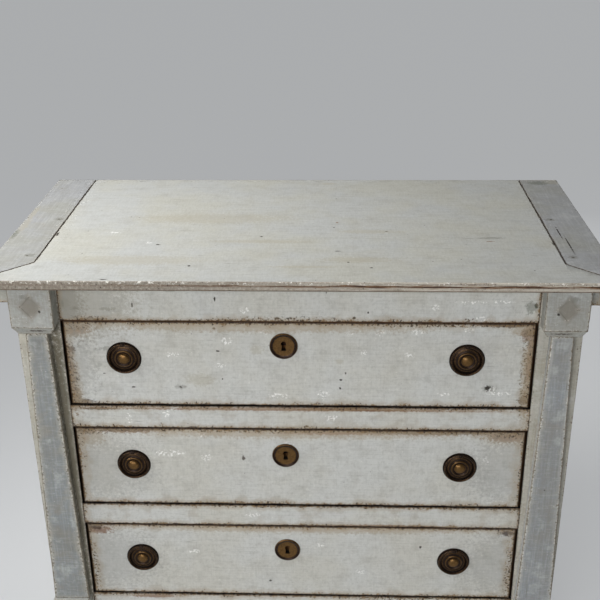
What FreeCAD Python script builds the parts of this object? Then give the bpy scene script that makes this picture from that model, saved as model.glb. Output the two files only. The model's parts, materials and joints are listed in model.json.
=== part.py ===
import FreeCAD, Part
import math
import os
import Sketcher
from types import SimpleNamespace

# Painted pine commode with three drawers between tapered pilasters.
# Millimetres. +X points to the right seen from the front, -Y to the front and +Z up.
# The origin lies on the floor, under the middle of the top.

# The driving sizes. Everything else is worked out from them.
SIZES = {
    # The top: a wide board between two cleats that are mitred at the front.
    "top_width": 1100,
    "top_depth": 570,
    "top_thickness": 18,
    "cleat_width": 83,
    "tongue_length": 14,
    "tongue_thickness": 6,
    "tongue_setback": 20,
    "seam_gap": 0.4,
    "top_edge_round": 2,
    # The case.
    "side_overhang": 50,
    "front_overhang": 42,
    "back_overhang": 10,
    "side_thickness": 18,
    "post_width": 78.5,
    "frame_depth": 45,
    "frieze_height": 76,
    "divider_height": 46,
    "base_height": 58,
    "drawer_opening": 174,
    "bottom_thickness": 18,
    "back_thickness": 14,
    "back_rebate": 9,
    "back_board_gap": 0.6,
    "tenon_length": 28,
    "tenon_thickness": 12,
    "tenon_shoulder": 8,
    "joint_gap": 0.1,
    # The pilasters with their blocks above and below.
    "pilaster_top_inset": 19.5,
    "pilaster_bottom_inset": 4.25,
    "pilaster_thickness": 17,
    "block_reveal": 2,
    "block_projection": 29,
    "block_drop": 3,
    "neck_height": 14,
    "neck_inset": 9,
    "lozenge_width": 34,
    "lozenge_height": 40,
    "lozenge_depth": 1,
    "plinth_bevel": 5,
    "edge_bevel": 1,
    # The moulding under the top at each side.
    "cornice_height": 42,
    "cornice_reveal": 8,
    "cornice_cove": 18,
    # The feet.
    "foot_height": 84,
    "foot_side_inset": 2.25,
    "foot_front_inset": 2,
    "foot_taper": 14,
    "foot_tenon_radius": 10,
    "foot_tenon_cover": 2,
    # What the drawers run on.
    "bearer_ledge": 20,
    "guide_height": 30,
    "guide_gap": 1,
    "kicker_height": 25,
    "stop_height": 6,
    "stop_width": 40,
    "stop_depth": 18,
    "stop_spacing": 560,
    "running_gap": 0.3,
    # The drawers.
    "drawer_side_gap": 4.5,
    "drawer_top_gap": 2,
    "drawer_bottom_gap": 3.5,
    "drawer_rear_gap": 11,
    "front_thickness": 22,
    "drawer_side_thickness": 12,
    "drawer_side_drop": 6,
    "drawer_back_thickness": 12,
    "drawer_back_setback": 8,
    "drawer_back_housing": 4,
    "drawer_bottom_thickness": 8,
    "drawer_bottom_rise": 10,
    "groove_depth": 5,
    "tail_count": 4,
    "tail_tip_space": 13,
    "tail_root_space": 21,
    "dovetail_lap": 6,
    # The locks. The keyholes sit to the left of the middle.
    "lock_offset": 25,
    "lock_width": 64,
    "lock_thickness": 14,
    "lock_below_key": 16,
    "keyway_depth": 9,
    "key_drop_upper": 48,
    "key_drop_lower": 58,
    "key_slot_gap": 1,
    "bolt_width": 20,
    "bolt_thickness": 6,
    "bolt_height": 24,
    "bolt_rest_drop": 0.5,
    "bolt_throw": 9,
    "catch_end_gap": 3,
    "catch_side_gap": 1,
    # The keyhole plates.
    "escutcheon_radius": 25.5,
    "escutcheon_thickness": 1.6,
    "escutcheon_bead": 1.7,
    "keyhole_radius": 4,
    "keyhole_rise": 5,
    "keyhole_foot_drop": 8.5,
    "keyhole_foot_width": 8,
    "keyhole_waist_width": 5,
    # The ring pulls.
    "handle_inset_left": 108.5,
    "handle_inset_right": 120.5,
    "handle_drop_upper": 74,
    "handle_drop_lower": 81,
    "plate_radius": 32,
    "plate_thickness": 1.2,
    "plate_lip": 0.8,
    "plate_step_inset": 8,
    "plate_step_top_inset": 15.7,
    "plate_step_height": 2.8,
    "small_bead_inset": 10.9,
    "small_bead": 1,
    "large_bead_inset": 16.8,
    "large_bead": 2,
    "boss_inset": 21.5,
    "boss_height": 5,
    "ring_inset": 4.2,
    "ring_wire": 1.9,
    "ring_rest_gap": 1,
    "ring_end_gap": 0.3,
    "lug_width": 8,
    "lug_radius": 2.9,
    "pin_radius": 1.2,
    "pin_fit": 0.08,
    "pin_tip_gap": 0.5,
    "stud_radius": 2.5,
    "stud_fit": 0.4,
    "nut_width": 12,
    "nut_thickness": 4,
    "stud_end": 2,
}

LEVELS = ("lower", "middle", "upper")
BACK_BOARDS = 3
TOUCH = 0.001


class Size:
    """A length that knows both its formula in the sheet and its value."""

    def __init__(self, text, value):
        self.text = text
        self.value = value

    def join(self, sign, other, value):
        other_text = other.text if isinstance(other, Size) else repr(other)
        return Size(f"({self.text} {sign} {other_text})", value)

    def __add__(self, other):
        return self.join("+", other, self.value + number(other))

    def __sub__(self, other):
        return self.join("-", other, self.value - number(other))

    def __mul__(self, other):
        return self.join("*", other, self.value * number(other))

    def __truediv__(self, other):
        return self.join("/", other, self.value / number(other))

    def __neg__(self):
        return Size(f"(0 - {self.text})", -self.value)

    def root(self):
        return Size(f"sqrt({self.text})", self.value ** 0.5)


def number(size):
    """The plain value of a Size or a number."""
    return size.value if isinstance(size, Size) else size


doc = FreeCAD.newDocument("commode")
sheet = doc.addObject("Spreadsheet::Sheet", "dims")
for row, (alias, value) in enumerate(SIZES.items(), 1):
    sheet.set(f"A{row}", alias)
    sheet.set(f"B{row}", str(value))
    sheet.setAlias(f"B{row}", alias)
doc.recompute()

D = SimpleNamespace(**{alias: Size(f"dims.{alias}", value) for alias, value in SIZES.items()})
ZERO = Size("0", 0)

# Planes of the case.
half_top = D.top_width / 2
half_depth = D.top_depth / 2
half_case = half_top - D.side_overhang
inner_case = half_case - D.side_thickness
half_opening = half_case - D.post_width
front = D.front_overhang - half_depth
frame_back = front + D.frame_depth
post_middle = front + D.frame_depth / 2
back = half_depth - D.back_overhang
back_inner = back - D.back_thickness
case_bottom = D.foot_height
first_opening = case_bottom + D.base_height
case_height = D.base_height + D.drawer_opening * 3 + D.divider_height * 2 + D.frieze_height
case_top = case_bottom + case_height
frieze_bottom = case_top - D.frieze_height
block_bottom = frieze_bottom - D.block_drop

# Planes that every drawer shares.
half_drawer = half_opening - D.drawer_side_gap
drawer_inner = half_drawer - D.drawer_side_thickness
front_inner = front + D.front_thickness
drawer_rear = back_inner - D.drawer_rear_gap
tail_length = D.front_thickness - D.dovetail_lap
lock_x = -D.lock_offset
bolt_y = front_inner + D.lock_thickness / 2

# The posts are centred on the pilasters, the blocks and the plinths stand flush with the sides.
post_centre = half_case - D.post_width / 2
block_inner = half_opening + D.block_reveal
block_front = front - D.block_projection


def opening_bottom(level):
    """Height of the lower edge of a drawer's opening."""
    return first_opening + (D.drawer_opening + D.divider_height) * LEVELS.index(level)


def drop(level, upper, other):
    """The top drawer carries its brassware a little higher than the others."""
    return upper if level == "upper" else other


def bind(item, path, size):
    """Ties a property to the sheet."""
    item.setExpression(path, size.text)


def place(item, x=None, y=None, z=None):
    """Ties the placement of an object to the sheet."""
    for axis, size in (("x", x), ("y", y), ("z", z)):
        if size is not None:
            bind(item, f"Placement.Base.{axis}", size)


def new_object(kind, label):
    item = doc.addObject(kind, label)
    item.Label = label
    return item


def new_body(label, x=None, y=None, z=None):
    body = new_object("PartDesign::Body", label)
    place(body, x, y, z)
    return body


def new_sketch(body, plane, offset=None):
    """A sketch on an origin plane of its body, moved along that plane's normal by offset."""
    sketch = body.newObject("Sketcher::SketchObject", f"{body.Label}_sketch")
    support = next(item for item in body.Origin.OriginFeatures if item.Role == plane)
    sketch.AttachmentSupport = [(support, "")]
    sketch.MapMode = "FlatFace"
    if offset is not None:
        bind(sketch, "AttachmentOffset.Base.z", offset)
    return sketch


def hold_point(sketch, item, end, x, y):
    """Holds one point of the sketch at its distances from the sketch origin."""
    for kind, distance in (("DistanceX", x), ("DistanceY", y)):
        index = sketch.addConstraint(Sketcher.Constraint(kind, -1, 1, item, end, distance.value))
        bind(sketch, f"Constraints[{index}]", distance)


def add_polygon(sketch, corners):
    """Straight lines through the corners, closed."""
    first = sketch.GeometryCount
    points = [FreeCAD.Vector(x.value, y.value, 0) for x, y in corners]
    for index, point in enumerate(points):
        sketch.addGeometry(Part.LineSegment(point, points[(index + 1) % len(points)]), False)
    for index, (x, y) in enumerate(corners):
        line = first + index
        following = first + (index + 1) % len(corners)
        sketch.addConstraint(Sketcher.Constraint("Coincident", line, 2, following, 1))
        hold_point(sketch, line, 1, x, y)


def add_rectangle(sketch, x_low, y_low, x_high, y_high):
    add_polygon(sketch, ((x_low, y_low), (x_high, y_low), (x_high, y_high), (x_low, y_high)))


def add_circle(sketch, x, y, radius):
    middle = FreeCAD.Vector(x.value, y.value, 0)
    circle = sketch.addGeometry(Part.Circle(middle, FreeCAD.Vector(0, 0, 1), radius.value), False)
    hold_point(sketch, circle, 3, x, y)
    index = sketch.addConstraint(Sketcher.Constraint("Radius", circle, radius.value))
    bind(sketch, f"Constraints[{index}]", radius)


def pad(body, sketch, length, reverse=False):
    feature = body.newObject("PartDesign::Pad", f"{body.Label}_pad")
    feature.Profile = sketch
    feature.Reversed = reverse
    bind(feature, "Length", length)
    doc.recompute()
    return feature


def pocket(body, sketch, depth, reverse=False):
    """Cuts the sketch into the body and makes sure that it took something away."""
    before = body.Shape.Volume
    feature = body.newObject("PartDesign::Pocket", f"{body.Label}_pocket")
    feature.Profile = sketch
    feature.Reversed = reverse
    bind(feature, "Length", depth)
    doc.recompute()
    if body.Shape.Volume >= before - TOUCH:
        raise RuntimeError(f"{feature.Name} cuts nothing")
    return feature


def loft(body, profile, section):
    feature = body.newObject("PartDesign::AdditiveLoft", f"{body.Label}_loft")
    feature.Profile = profile
    feature.Sections = [section]
    feature.Ruled = True
    doc.recompute()
    return feature


def row_upwards(body, feature, sketch, pitch, count):
    """Repeats a feature upwards along the vertical axis of its sketch."""
    pattern = body.newObject("PartDesign::LinearPattern", f"{body.Label}_row")
    pattern.Originals = [feature]
    pattern.Direction = (sketch, ["V_Axis"])
    bind(pattern, "Length", pitch * (count - 1))
    bind(pattern, "Occurrences", count)
    body.Tip = pattern
    doc.recompute()
    return pattern


def edges_in_plane(feature, axis, height):
    """Names of the edges of a feature that lie in the plane axis = height."""
    names = []
    for index, edge in enumerate(feature.Shape.Edges, 1):
        if all(abs(getattr(end.Point, axis) - height.value) < TOUCH for end in edge.Vertexes):
            names.append(f"Edge{index}")
    return names


def bevel(body, feature, axis, height, size, kind="Chamfer"):
    """Breaks the edges round the face that lies in the plane axis = height."""
    edge_break = body.newObject(f"PartDesign::{kind}", f"{body.Label}_bevel")
    edge_break.Base = (feature, edges_in_plane(feature, axis, height))
    bind(edge_break, "Radius" if kind == "Fillet" else "Size", size)
    doc.recompute()
    return edge_break


def new_box(label, x, y, z, length, width, height):
    box = new_object("Part::Box", label)
    bind(box, "Length", length)
    bind(box, "Width", width)
    bind(box, "Height", height)
    place(box, x, y, z)
    return box


def new_cylinder(label, radius, height, x=None, y=None, z=None, axis=None):
    """A cylinder along +Z, or along +X when axis says so."""
    cylinder = new_object("Part::Cylinder", label)
    bind(cylinder, "Radius", radius)
    bind(cylinder, "Height", height)
    if axis == "X":
        cylinder.Placement.Rotation = FreeCAD.Rotation(FreeCAD.Vector(0, 1, 0), 90)
    place(cylinder, x, y, z)
    return cylinder


def new_drill(label, radius, thickness, x=None, y=None, z=ZERO, axis=None):
    """A cylinder that goes right through a wall of this thickness whose near face is at x or z."""
    if axis == "X":
        return new_cylinder(label, radius, thickness * 3, x - thickness, y, z, axis)
    return new_cylinder(label, radius, thickness * 3, x, y, z - thickness)


def new_torus(label, radius, wire, z):
    torus = new_object("Part::Torus", label)
    bind(torus, "Radius1", radius)
    bind(torus, "Radius2", wire)
    place(torus, z=z)
    return torus


def fused(label, *pieces):
    fuse = new_object("Part::MultiFuse", label)
    fuse.Shapes = list(pieces)
    return fuse


def cut(label, base, tool):
    result = new_object("Part::Cut", label)
    result.Base = base
    result.Tool = tool
    return result


def group(label, *pieces):
    """Several separate solids that share one node."""
    compound = new_object("Part::Compound", label)
    compound.Links = list(pieces)
    return compound


def mirrored(source, label):
    """The left-hand twin of a piece on the right."""
    twin = new_object("Part::Mirroring", label)
    twin.Source = source
    twin.Normal = FreeCAD.Vector(1, 0, 0)
    twin.Base = FreeCAD.Vector(0, 0, 0)
    return twin


def facing_front(item, x, y, z):
    """Turns a piece made face up towards the front and puts its middle at x, y, z."""
    item.Placement.Rotation = FreeCAD.Rotation(FreeCAD.Vector(1, 0, 0), 90)
    place(item, x, y, z)


def make_top():
    """A board with a tongue along each end, and two cleats grooved over the tongues."""
    seam = half_top - D.cleat_width
    mitre = D.cleat_width - half_depth
    tongue_low = (D.top_thickness - D.tongue_thickness) / 2
    tongue_front = mitre + D.tongue_setback

    board = new_body("top_board", z=case_top)
    outline = new_sketch(board, "XY_Plane")
    right_side = ((half_top, -half_depth), (seam, mitre), (seam, half_depth))
    left_side = tuple((-x, y) for x, y in reversed(right_side))
    add_polygon(outline, right_side + left_side)
    slab = pad(board, outline, D.top_thickness)
    front_edges = set(edges_in_plane(slab, "y", -half_depth))
    long_edges = [name for name in front_edges
                  if slab.Shape.getElement(name).Length > D.top_width.value / 2]
    rounding = board.newObject("PartDesign::Fillet", "top_board_round")
    rounding.Base = (slab, sorted(long_edges))
    bind(rounding, "Radius", D.top_edge_round)
    doc.recompute()
    tongue = new_sketch(board, "XY_Plane", tongue_low)
    tongue_end = seam + D.tongue_length
    add_rectangle(tongue, -tongue_end, tongue_front, tongue_end, half_depth)
    pad(board, tongue, D.tongue_thickness)

    cleat = new_body("top_cleat_right", z=case_top)
    outline = new_sketch(cleat, "XY_Plane")
    corners = ((half_top, -half_depth + D.seam_gap), (half_top, half_depth),
               (seam + D.seam_gap, half_depth), (seam + D.seam_gap, mitre + D.seam_gap))
    add_polygon(outline, corners)
    slab = pad(cleat, outline, D.top_thickness)
    rounding = cleat.newObject("PartDesign::Fillet", "top_cleat_round")
    outer_edges = [name for name in edges_in_plane(slab, "x", half_top)
                   if slab.Shape.getElement(name).Length > D.top_depth.value / 2]
    rounding.Base = (slab, outer_edges)
    bind(rounding, "Radius", D.top_edge_round)
    doc.recompute()
    groove = new_sketch(cleat, "XY_Plane", tongue_low - D.joint_gap)
    add_rectangle(groove, seam - D.seam_gap, tongue_front - D.joint_gap,
                  tongue_end + D.joint_gap, half_depth + D.seam_gap)
    pocket(cleat, groove, D.tongue_thickness + D.joint_gap * 2, reverse=True)
    return [board, cleat, mirrored(cleat, "top_cleat_left")]


def make_side_boards():
    """Each side is a board, rebated at the rear for the back boards."""
    side = new_body("side_board_right", z=case_bottom)
    outline = new_sketch(side, "XY_Plane")
    rebate = inner_case + D.back_rebate
    add_polygon(outline, ((inner_case, frame_back), (half_case, frame_back), (half_case, back),
                          (rebate, back), (rebate, back_inner), (inner_case, back_inner)))
    pad(side, outline, case_height)
    return [side, mirrored(side, "side_board_left")]


def rail_levels():
    """Label, underside and height of each rail across the front."""
    divider_lower = first_opening + D.drawer_opening
    divider_upper = divider_lower + D.divider_height + D.drawer_opening
    return (("base_rail", case_bottom, D.base_height),
            ("divider_rail_lower", divider_lower, D.divider_height),
            ("divider_rail_upper", divider_upper, D.divider_height),
            ("frieze_rail", frieze_bottom, D.frieze_height))


def make_posts():
    """Front corner posts, mortised for the rails and bored from below for the feet."""
    post = new_body("corner_post_right", z=case_bottom)
    outline = new_sketch(post, "XY_Plane")
    add_rectangle(outline, half_opening, front, half_case, frame_back)
    pad(post, outline, case_height)
    mortises = new_sketch(post, "YZ_Plane", half_opening)
    half_mortise = D.tenon_thickness / 2 + D.joint_gap
    for _, underside, height in rail_levels():
        low = underside - case_bottom + D.tenon_shoulder - D.joint_gap
        high = underside - case_bottom + height - D.tenon_shoulder + D.joint_gap
        add_rectangle(mortises, post_middle - half_mortise, low, post_middle + half_mortise, high)
    pocket(post, mortises, D.tenon_length + D.joint_gap, reverse=True)
    bore = new_sketch(post, "XY_Plane")
    add_circle(bore, post_centre, post_middle, D.foot_tenon_radius + D.joint_gap)
    pocket(post, bore, foot_tenon_length + D.joint_gap, reverse=True)
    return [post, mirrored(post, "corner_post_left")]


def make_rails():
    """Rails between the posts. Those above a drawer take its lock bolt in a small mortise."""
    rails = []
    half_tenon = D.tenon_thickness / 2
    for label, underside, height in rail_levels():
        rail = new_body(label, z=underside)
        outline = new_sketch(rail, "XY_Plane")
        add_rectangle(outline, -half_opening, front, half_opening, frame_back)
        pad(rail, outline, height)
        tenon = new_sketch(rail, "XY_Plane", D.tenon_shoulder)
        tenon_end = half_opening + D.tenon_length
        add_rectangle(tenon, -tenon_end, post_middle - half_tenon,
                      tenon_end, post_middle + half_tenon)
        pad(rail, tenon, height - D.tenon_shoulder * 2)
        if label != "base_rail":
            catch = new_sketch(rail, "XY_Plane")
            half_catch = D.bolt_width / 2 + D.catch_end_gap
            half_slot = D.bolt_thickness / 2 + D.catch_side_gap
            add_rectangle(catch, lock_x - half_catch, bolt_y - half_slot,
                          lock_x + half_catch, bolt_y + half_slot)
            pocket(rail, catch, D.bolt_throw, reverse=True)
        rails.append(rail)
    return rails


def make_pilasters():
    """Flat pilasters that widen from the capital block down to the plinth block."""
    pilaster_height = block_bottom - D.neck_height - first_opening
    pilaster = new_body("pilaster_right", y=front, z=first_opening)
    outline = new_sketch(pilaster, "XZ_Plane")
    half_low = D.post_width / 2 - D.pilaster_bottom_inset
    half_high = D.post_width / 2 - D.pilaster_top_inset
    add_polygon(outline, ((post_centre - half_low, ZERO), (post_centre + half_low, ZERO),
                          (post_centre + half_high, pilaster_height),
                          (post_centre - half_high, pilaster_height)))
    shaft = pad(pilaster, outline, D.pilaster_thickness)
    bevel(pilaster, shaft, "y", -D.pilaster_thickness, D.edge_bevel)
    return [pilaster, mirrored(pilaster, "pilaster_left")]


def make_corner_blocks():
    """Blocks with a sunk lozenge and a sloping neck, one above each pilaster."""
    block = new_body("corner_block_right", z=block_bottom)
    outline = new_sketch(block, "XY_Plane")
    add_rectangle(outline, block_inner, block_front, half_case, front)
    cube = pad(block, outline, D.block_drop + D.frieze_height)
    bevel(block, cube, "y", block_front, D.edge_bevel)
    lozenge = new_sketch(block, "XZ_Plane", -block_front)
    middle = (block_inner + half_case) / 2
    level = D.block_drop + D.frieze_height / 2
    half_wide = D.lozenge_width / 2
    half_tall = D.lozenge_height / 2
    add_polygon(lozenge, ((middle - half_wide, level), (middle, level - half_tall),
                          (middle + half_wide, level), (middle, level + half_tall)))
    pocket(block, lozenge, D.lozenge_depth)
    neck_top = new_sketch(block, "XY_Plane")
    add_rectangle(neck_top, block_inner + D.edge_bevel, block_front + D.edge_bevel,
                  half_case - D.edge_bevel, front)
    neck_foot = new_sketch(block, "XY_Plane", -D.neck_height)
    add_rectangle(neck_foot, block_inner + D.neck_inset, block_front + D.neck_inset,
                  half_case - D.neck_inset, front)
    loft(block, neck_top, neck_foot)
    return [block, mirrored(block, "corner_block_left")]


def make_plinth_blocks():
    """Blocks under the pilasters, as high as the base rail and bevelled at the top."""
    plinth = new_body("plinth_block_right", z=case_bottom)
    outline = new_sketch(plinth, "XY_Plane")
    add_rectangle(outline, half_opening, block_front, half_case, front)
    cube = pad(plinth, outline, D.base_height)
    top_edges = set(edges_in_plane(cube, "z", D.base_height))
    rear_edges = set(edges_in_plane(cube, "y", front))
    bevelled = plinth.newObject("PartDesign::Chamfer", "plinth_bevel")
    bevelled.Base = (cube, sorted(top_edges - rear_edges))
    bind(bevelled, "Size", D.plinth_bevel)
    doc.recompute()
    return [plinth, mirrored(plinth, "plinth_block_left")]


def make_cornices():
    """A coved moulding under the overhang of the top at each side."""
    cornice = new_body("side_cornice_right", y=back, z=case_top)
    profile = new_sketch(cornice, "XZ_Plane")
    outer = half_top - D.cornice_reveal
    underside = -D.cornice_height
    corners = ((half_case, underside), (half_case, ZERO), (outer, ZERO),
               (outer, underside + D.cornice_cove), (outer - D.cornice_cove, underside))
    points = [FreeCAD.Vector(x.value, y.value, 0) for x, y in corners]
    for start, end in zip(points[:3], points[1:4]):
        profile.addGeometry(Part.LineSegment(start, end), False)
    axis = FreeCAD.Vector(outer.value, underside.value, 0)
    circle = Part.Circle(axis, FreeCAD.Vector(0, 0, 1), D.cornice_cove.value)
    cove = profile.addGeometry(Part.ArcOfCircle(circle, math.pi / 2, math.pi), False)
    closing = profile.addGeometry(Part.LineSegment(points[4], points[0]), False)
    for line, (x, y) in enumerate(corners[:3]):
        hold_point(profile, line, 1, x, y)
    hold_point(profile, cove, 3, outer, underside)
    hold_point(profile, cove, 1, *corners[3])
    profile.addConstraint(Sketcher.Constraint("Horizontal", closing))
    for line, following in ((0, 1), (1, 2), (2, cove), (cove, closing), (closing, 0)):
        profile.addConstraint(Sketcher.Constraint("Coincident", line, 2, following, 1))
    pad(cornice, profile, back - front)
    return [cornice, mirrored(cornice, "side_cornice_left")]


def make_bottom_board():
    """The floor of the case, bored from below for the rear feet."""
    board = new_body("bottom_board", z=case_bottom)
    outline = new_sketch(board, "XY_Plane")
    add_rectangle(outline, -inner_case, frame_back, inner_case, back_inner)
    pad(board, outline, D.bottom_thickness)
    bores = new_sketch(board, "XY_Plane")
    for x in (post_centre, -post_centre):
        add_circle(bores, x, rear_foot_y, D.foot_tenon_radius + D.joint_gap)
    pocket(board, bores, foot_tenon_length + D.joint_gap, reverse=True)
    return [board]


def make_back_boards():
    """Three rough boards, one above the other, in the rebates of the sides."""
    half_width = inner_case + D.back_rebate - D.joint_gap
    height = (case_height - D.back_board_gap * (BACK_BOARDS - 1)) / BACK_BOARDS
    boards = []
    for index in range(BACK_BOARDS):
        level = case_bottom + (height + D.back_board_gap) * index
        boards.append(new_box(f"back_board_{index + 1}", -half_width, back_inner, level,
                              half_width * 2, D.back_thickness, height))
    return [group("back_boards", *boards)]


def make_foot(label, y, tenon_y):
    """A square tapered foot with a round tenon on top, tenon_y behind the foot's own middle."""
    foot = new_body(label, x=post_centre, y=y)
    half_high = half_foot_top
    half_low = half_foot_top - D.foot_taper
    sole = new_sketch(foot, "XY_Plane")
    add_rectangle(sole, -half_low, -half_low, half_low, half_low)
    head = new_sketch(foot, "XY_Plane", D.foot_height)
    add_rectangle(head, -half_high, -half_high, half_high, half_high)
    loft(foot, sole, head)
    tenon = new_sketch(foot, "XY_Plane", D.foot_height)
    add_circle(tenon, ZERO, tenon_y, D.foot_tenon_radius)
    pad(foot, tenon, foot_tenon_length)
    return foot


def make_feet():
    """Front feet that plug into the posts and rear feet that plug into the floor of the case."""
    front_right = make_foot("foot_front_right", front_foot_y, post_middle - front_foot_y)
    rear_right = make_foot("foot_rear_right", rear_foot_y, ZERO)
    rear_left = mirrored(rear_right, "foot_rear_left")
    return [front_right, mirrored(front_right, "foot_front_left"),
            group("rear_feet", rear_left, rear_right)]


def make_slides(level):
    """Bearers under the drawer sides, guides beside them and stops behind the front."""
    bottom = opening_bottom(level)
    length = back_inner - frame_back
    bearer_inner = drawer_inner - D.bearer_ledge
    bearer_width = inner_case - bearer_inner
    guide_inner = half_drawer + D.guide_gap
    guide_width = inner_case - guide_inner
    stop_y = front_inner + D.running_gap
    if level == "lower":
        bearer_height = D.base_height - D.bottom_thickness
    else:
        bearer_height = D.divider_height
    pieces = []
    for hand, side in (("left", -1), ("right", 1)):
        name = f"{level}_{{}}_{hand}"
        bearer_x = bearer_inner if side > 0 else -inner_case
        guide_x = guide_inner if side > 0 else -inner_case
        stop_x = D.stop_spacing / 2 * side - D.stop_width / 2
        pieces.append(new_box(name.format("bearer"), bearer_x, frame_back, bottom - bearer_height,
                              bearer_width, length, bearer_height))
        pieces.append(new_box(name.format("guide"), guide_x, frame_back, bottom,
                              guide_width, length, D.guide_height))
        pieces.append(new_box(name.format("stop"), stop_x, stop_y, bottom,
                              D.stop_width, D.stop_depth, D.stop_height))
        if level == "upper":
            pieces.append(new_box(name.format("kicker"), bearer_x, frame_back, frieze_bottom,
                                  bearer_width, length, D.kicker_height))
    return [group(f"{level}_drawer_slides", *pieces)]


def tail_outline(sketch, root_y, tip_y, middle, pitch, gap):
    """One dovetail seen from the side: narrow at its root, wide at its tip."""
    half_root = (pitch - D.tail_root_space) / 2 + gap
    half_tip = (pitch - D.tail_tip_space) / 2 + gap
    add_polygon(sketch, ((root_y, middle - half_root), (root_y, middle + half_root),
                         (tip_y, middle + half_tip), (tip_y, middle - half_tip)))


def make_drawer_front(level, drawer_bottom, drawer_top, groove_low, first_tail, tail_pitch):
    """The front board: grooved for the bottom, socketed for the sides, bored for the brasses."""
    opening_top = opening_bottom(level) + D.drawer_opening
    handle_z = opening_top - drop(level, D.handle_drop_upper, D.handle_drop_lower)
    key_z = opening_top - drop(level, D.key_drop_upper, D.key_drop_lower)
    board = new_body(f"{level}_drawer_front", y=front_inner)
    outline = new_sketch(board, "XZ_Plane")
    add_rectangle(outline, -half_drawer, drawer_bottom, half_drawer, drawer_top)
    slab = pad(board, outline, D.front_thickness)
    bevel(board, slab, "y", -D.front_thickness, D.edge_bevel)
    groove = new_sketch(board, "XZ_Plane")
    half_groove = drawer_inner + D.groove_depth
    add_rectangle(groove, -half_groove, groove_low - D.joint_gap,
                  half_groove, groove_low + D.drawer_bottom_thickness + D.joint_gap)
    pocket(board, groove, D.groove_depth, reverse=True)
    for side in (-1, 1):
        socket = new_sketch(board, "YZ_Plane", half_drawer * side)
        tail_outline(socket, ZERO, -tail_length - D.joint_gap, first_tail, tail_pitch, D.joint_gap)
        first = pocket(board, socket, D.drawer_side_thickness, reverse=side < 0)
        row_upwards(board, first, socket, tail_pitch, D.tail_count)
    bores = new_sketch(board, "XZ_Plane")
    for x in (D.handle_inset_left - half_opening, half_opening - D.handle_inset_right):
        add_circle(bores, x, handle_z, D.stud_radius + D.stud_fit)
    half_slot = D.keyhole_radius + D.key_slot_gap
    add_rectangle(bores, lock_x - half_slot, key_z - D.keyhole_foot_drop - D.key_slot_gap,
                  lock_x + half_slot, key_z + D.keyhole_rise + half_slot)
    board.Tip = pocket(board, bores, D.front_thickness, reverse=True)
    return board


def make_drawer_side(level, side_bottom, side_top, groove_low, first_tail, tail_pitch):
    """A drawer side with dovetails at the front, a groove below and a housing at the rear."""
    side = new_body(f"{level}_drawer_side_right", x=drawer_inner)
    outline = new_sketch(side, "YZ_Plane")
    add_rectangle(outline, front_inner, side_bottom, drawer_rear, side_top)
    pad(side, outline, D.drawer_side_thickness)
    tail = new_sketch(side, "YZ_Plane")
    tail_outline(tail, front_inner, front_inner - tail_length, first_tail, tail_pitch, ZERO)
    first = pad(side, tail, D.drawer_side_thickness)
    row_upwards(side, first, tail, tail_pitch, D.tail_count)
    groove = new_sketch(side, "YZ_Plane")
    groove_high = groove_low + D.drawer_bottom_thickness + D.joint_gap
    add_rectangle(groove, front_inner - D.groove_depth, groove_low - D.joint_gap,
                  drawer_rear, groove_high)
    side.Tip = pocket(side, groove, D.groove_depth, reverse=True)
    housing = new_sketch(side, "YZ_Plane")
    housing_rear = drawer_rear - D.drawer_back_setback + D.joint_gap
    housing_front = drawer_rear - D.drawer_back_setback - D.drawer_back_thickness - D.joint_gap
    add_rectangle(housing, housing_front, groove_high, housing_rear, side_top)
    side.Tip = pocket(side, housing, D.drawer_back_housing, reverse=True)
    return side


def make_lock(level, drawer_top):
    """A box lock on the inner face of the front, with a bolt that rises into the rail."""
    key_z = opening_bottom(level) + D.drawer_opening - drop(level, D.key_drop_upper, D.key_drop_lower)
    case_low = key_z - D.lock_below_key
    shell = new_box(f"{level}_lock_shell", lock_x - D.lock_width / 2, front_inner, case_low,
                    D.lock_width, D.lock_thickness, drawer_top - case_low)
    slot = new_box(f"{level}_lock_slot", lock_x - D.bolt_width / 2 - D.running_gap,
                   bolt_y - D.bolt_thickness / 2 - D.running_gap,
                   drawer_top - D.bolt_height - D.bolt_rest_drop - D.running_gap,
                   D.bolt_width + D.running_gap * 2, D.bolt_thickness + D.running_gap * 2,
                   D.bolt_height * 2)
    keyway = new_cylinder(f"{level}_lock_keyway", D.keyhole_radius, D.keyway_depth)
    keyway.Placement.Rotation = FreeCAD.Rotation(FreeCAD.Vector(1, 0, 0), -90)
    place(keyway, lock_x, front_inner, key_z + D.keyhole_rise)
    case = cut(f"{level}_lock_case", shell, fused(f"{level}_lock_hollow", slot, keyway))
    bolt = new_box(f"{level}_lock_bolt", lock_x - D.bolt_width / 2, bolt_y - D.bolt_thickness / 2,
                   drawer_top - D.bolt_height - D.bolt_rest_drop,
                   D.bolt_width, D.bolt_thickness, D.bolt_height)
    return [case, bolt]


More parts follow.
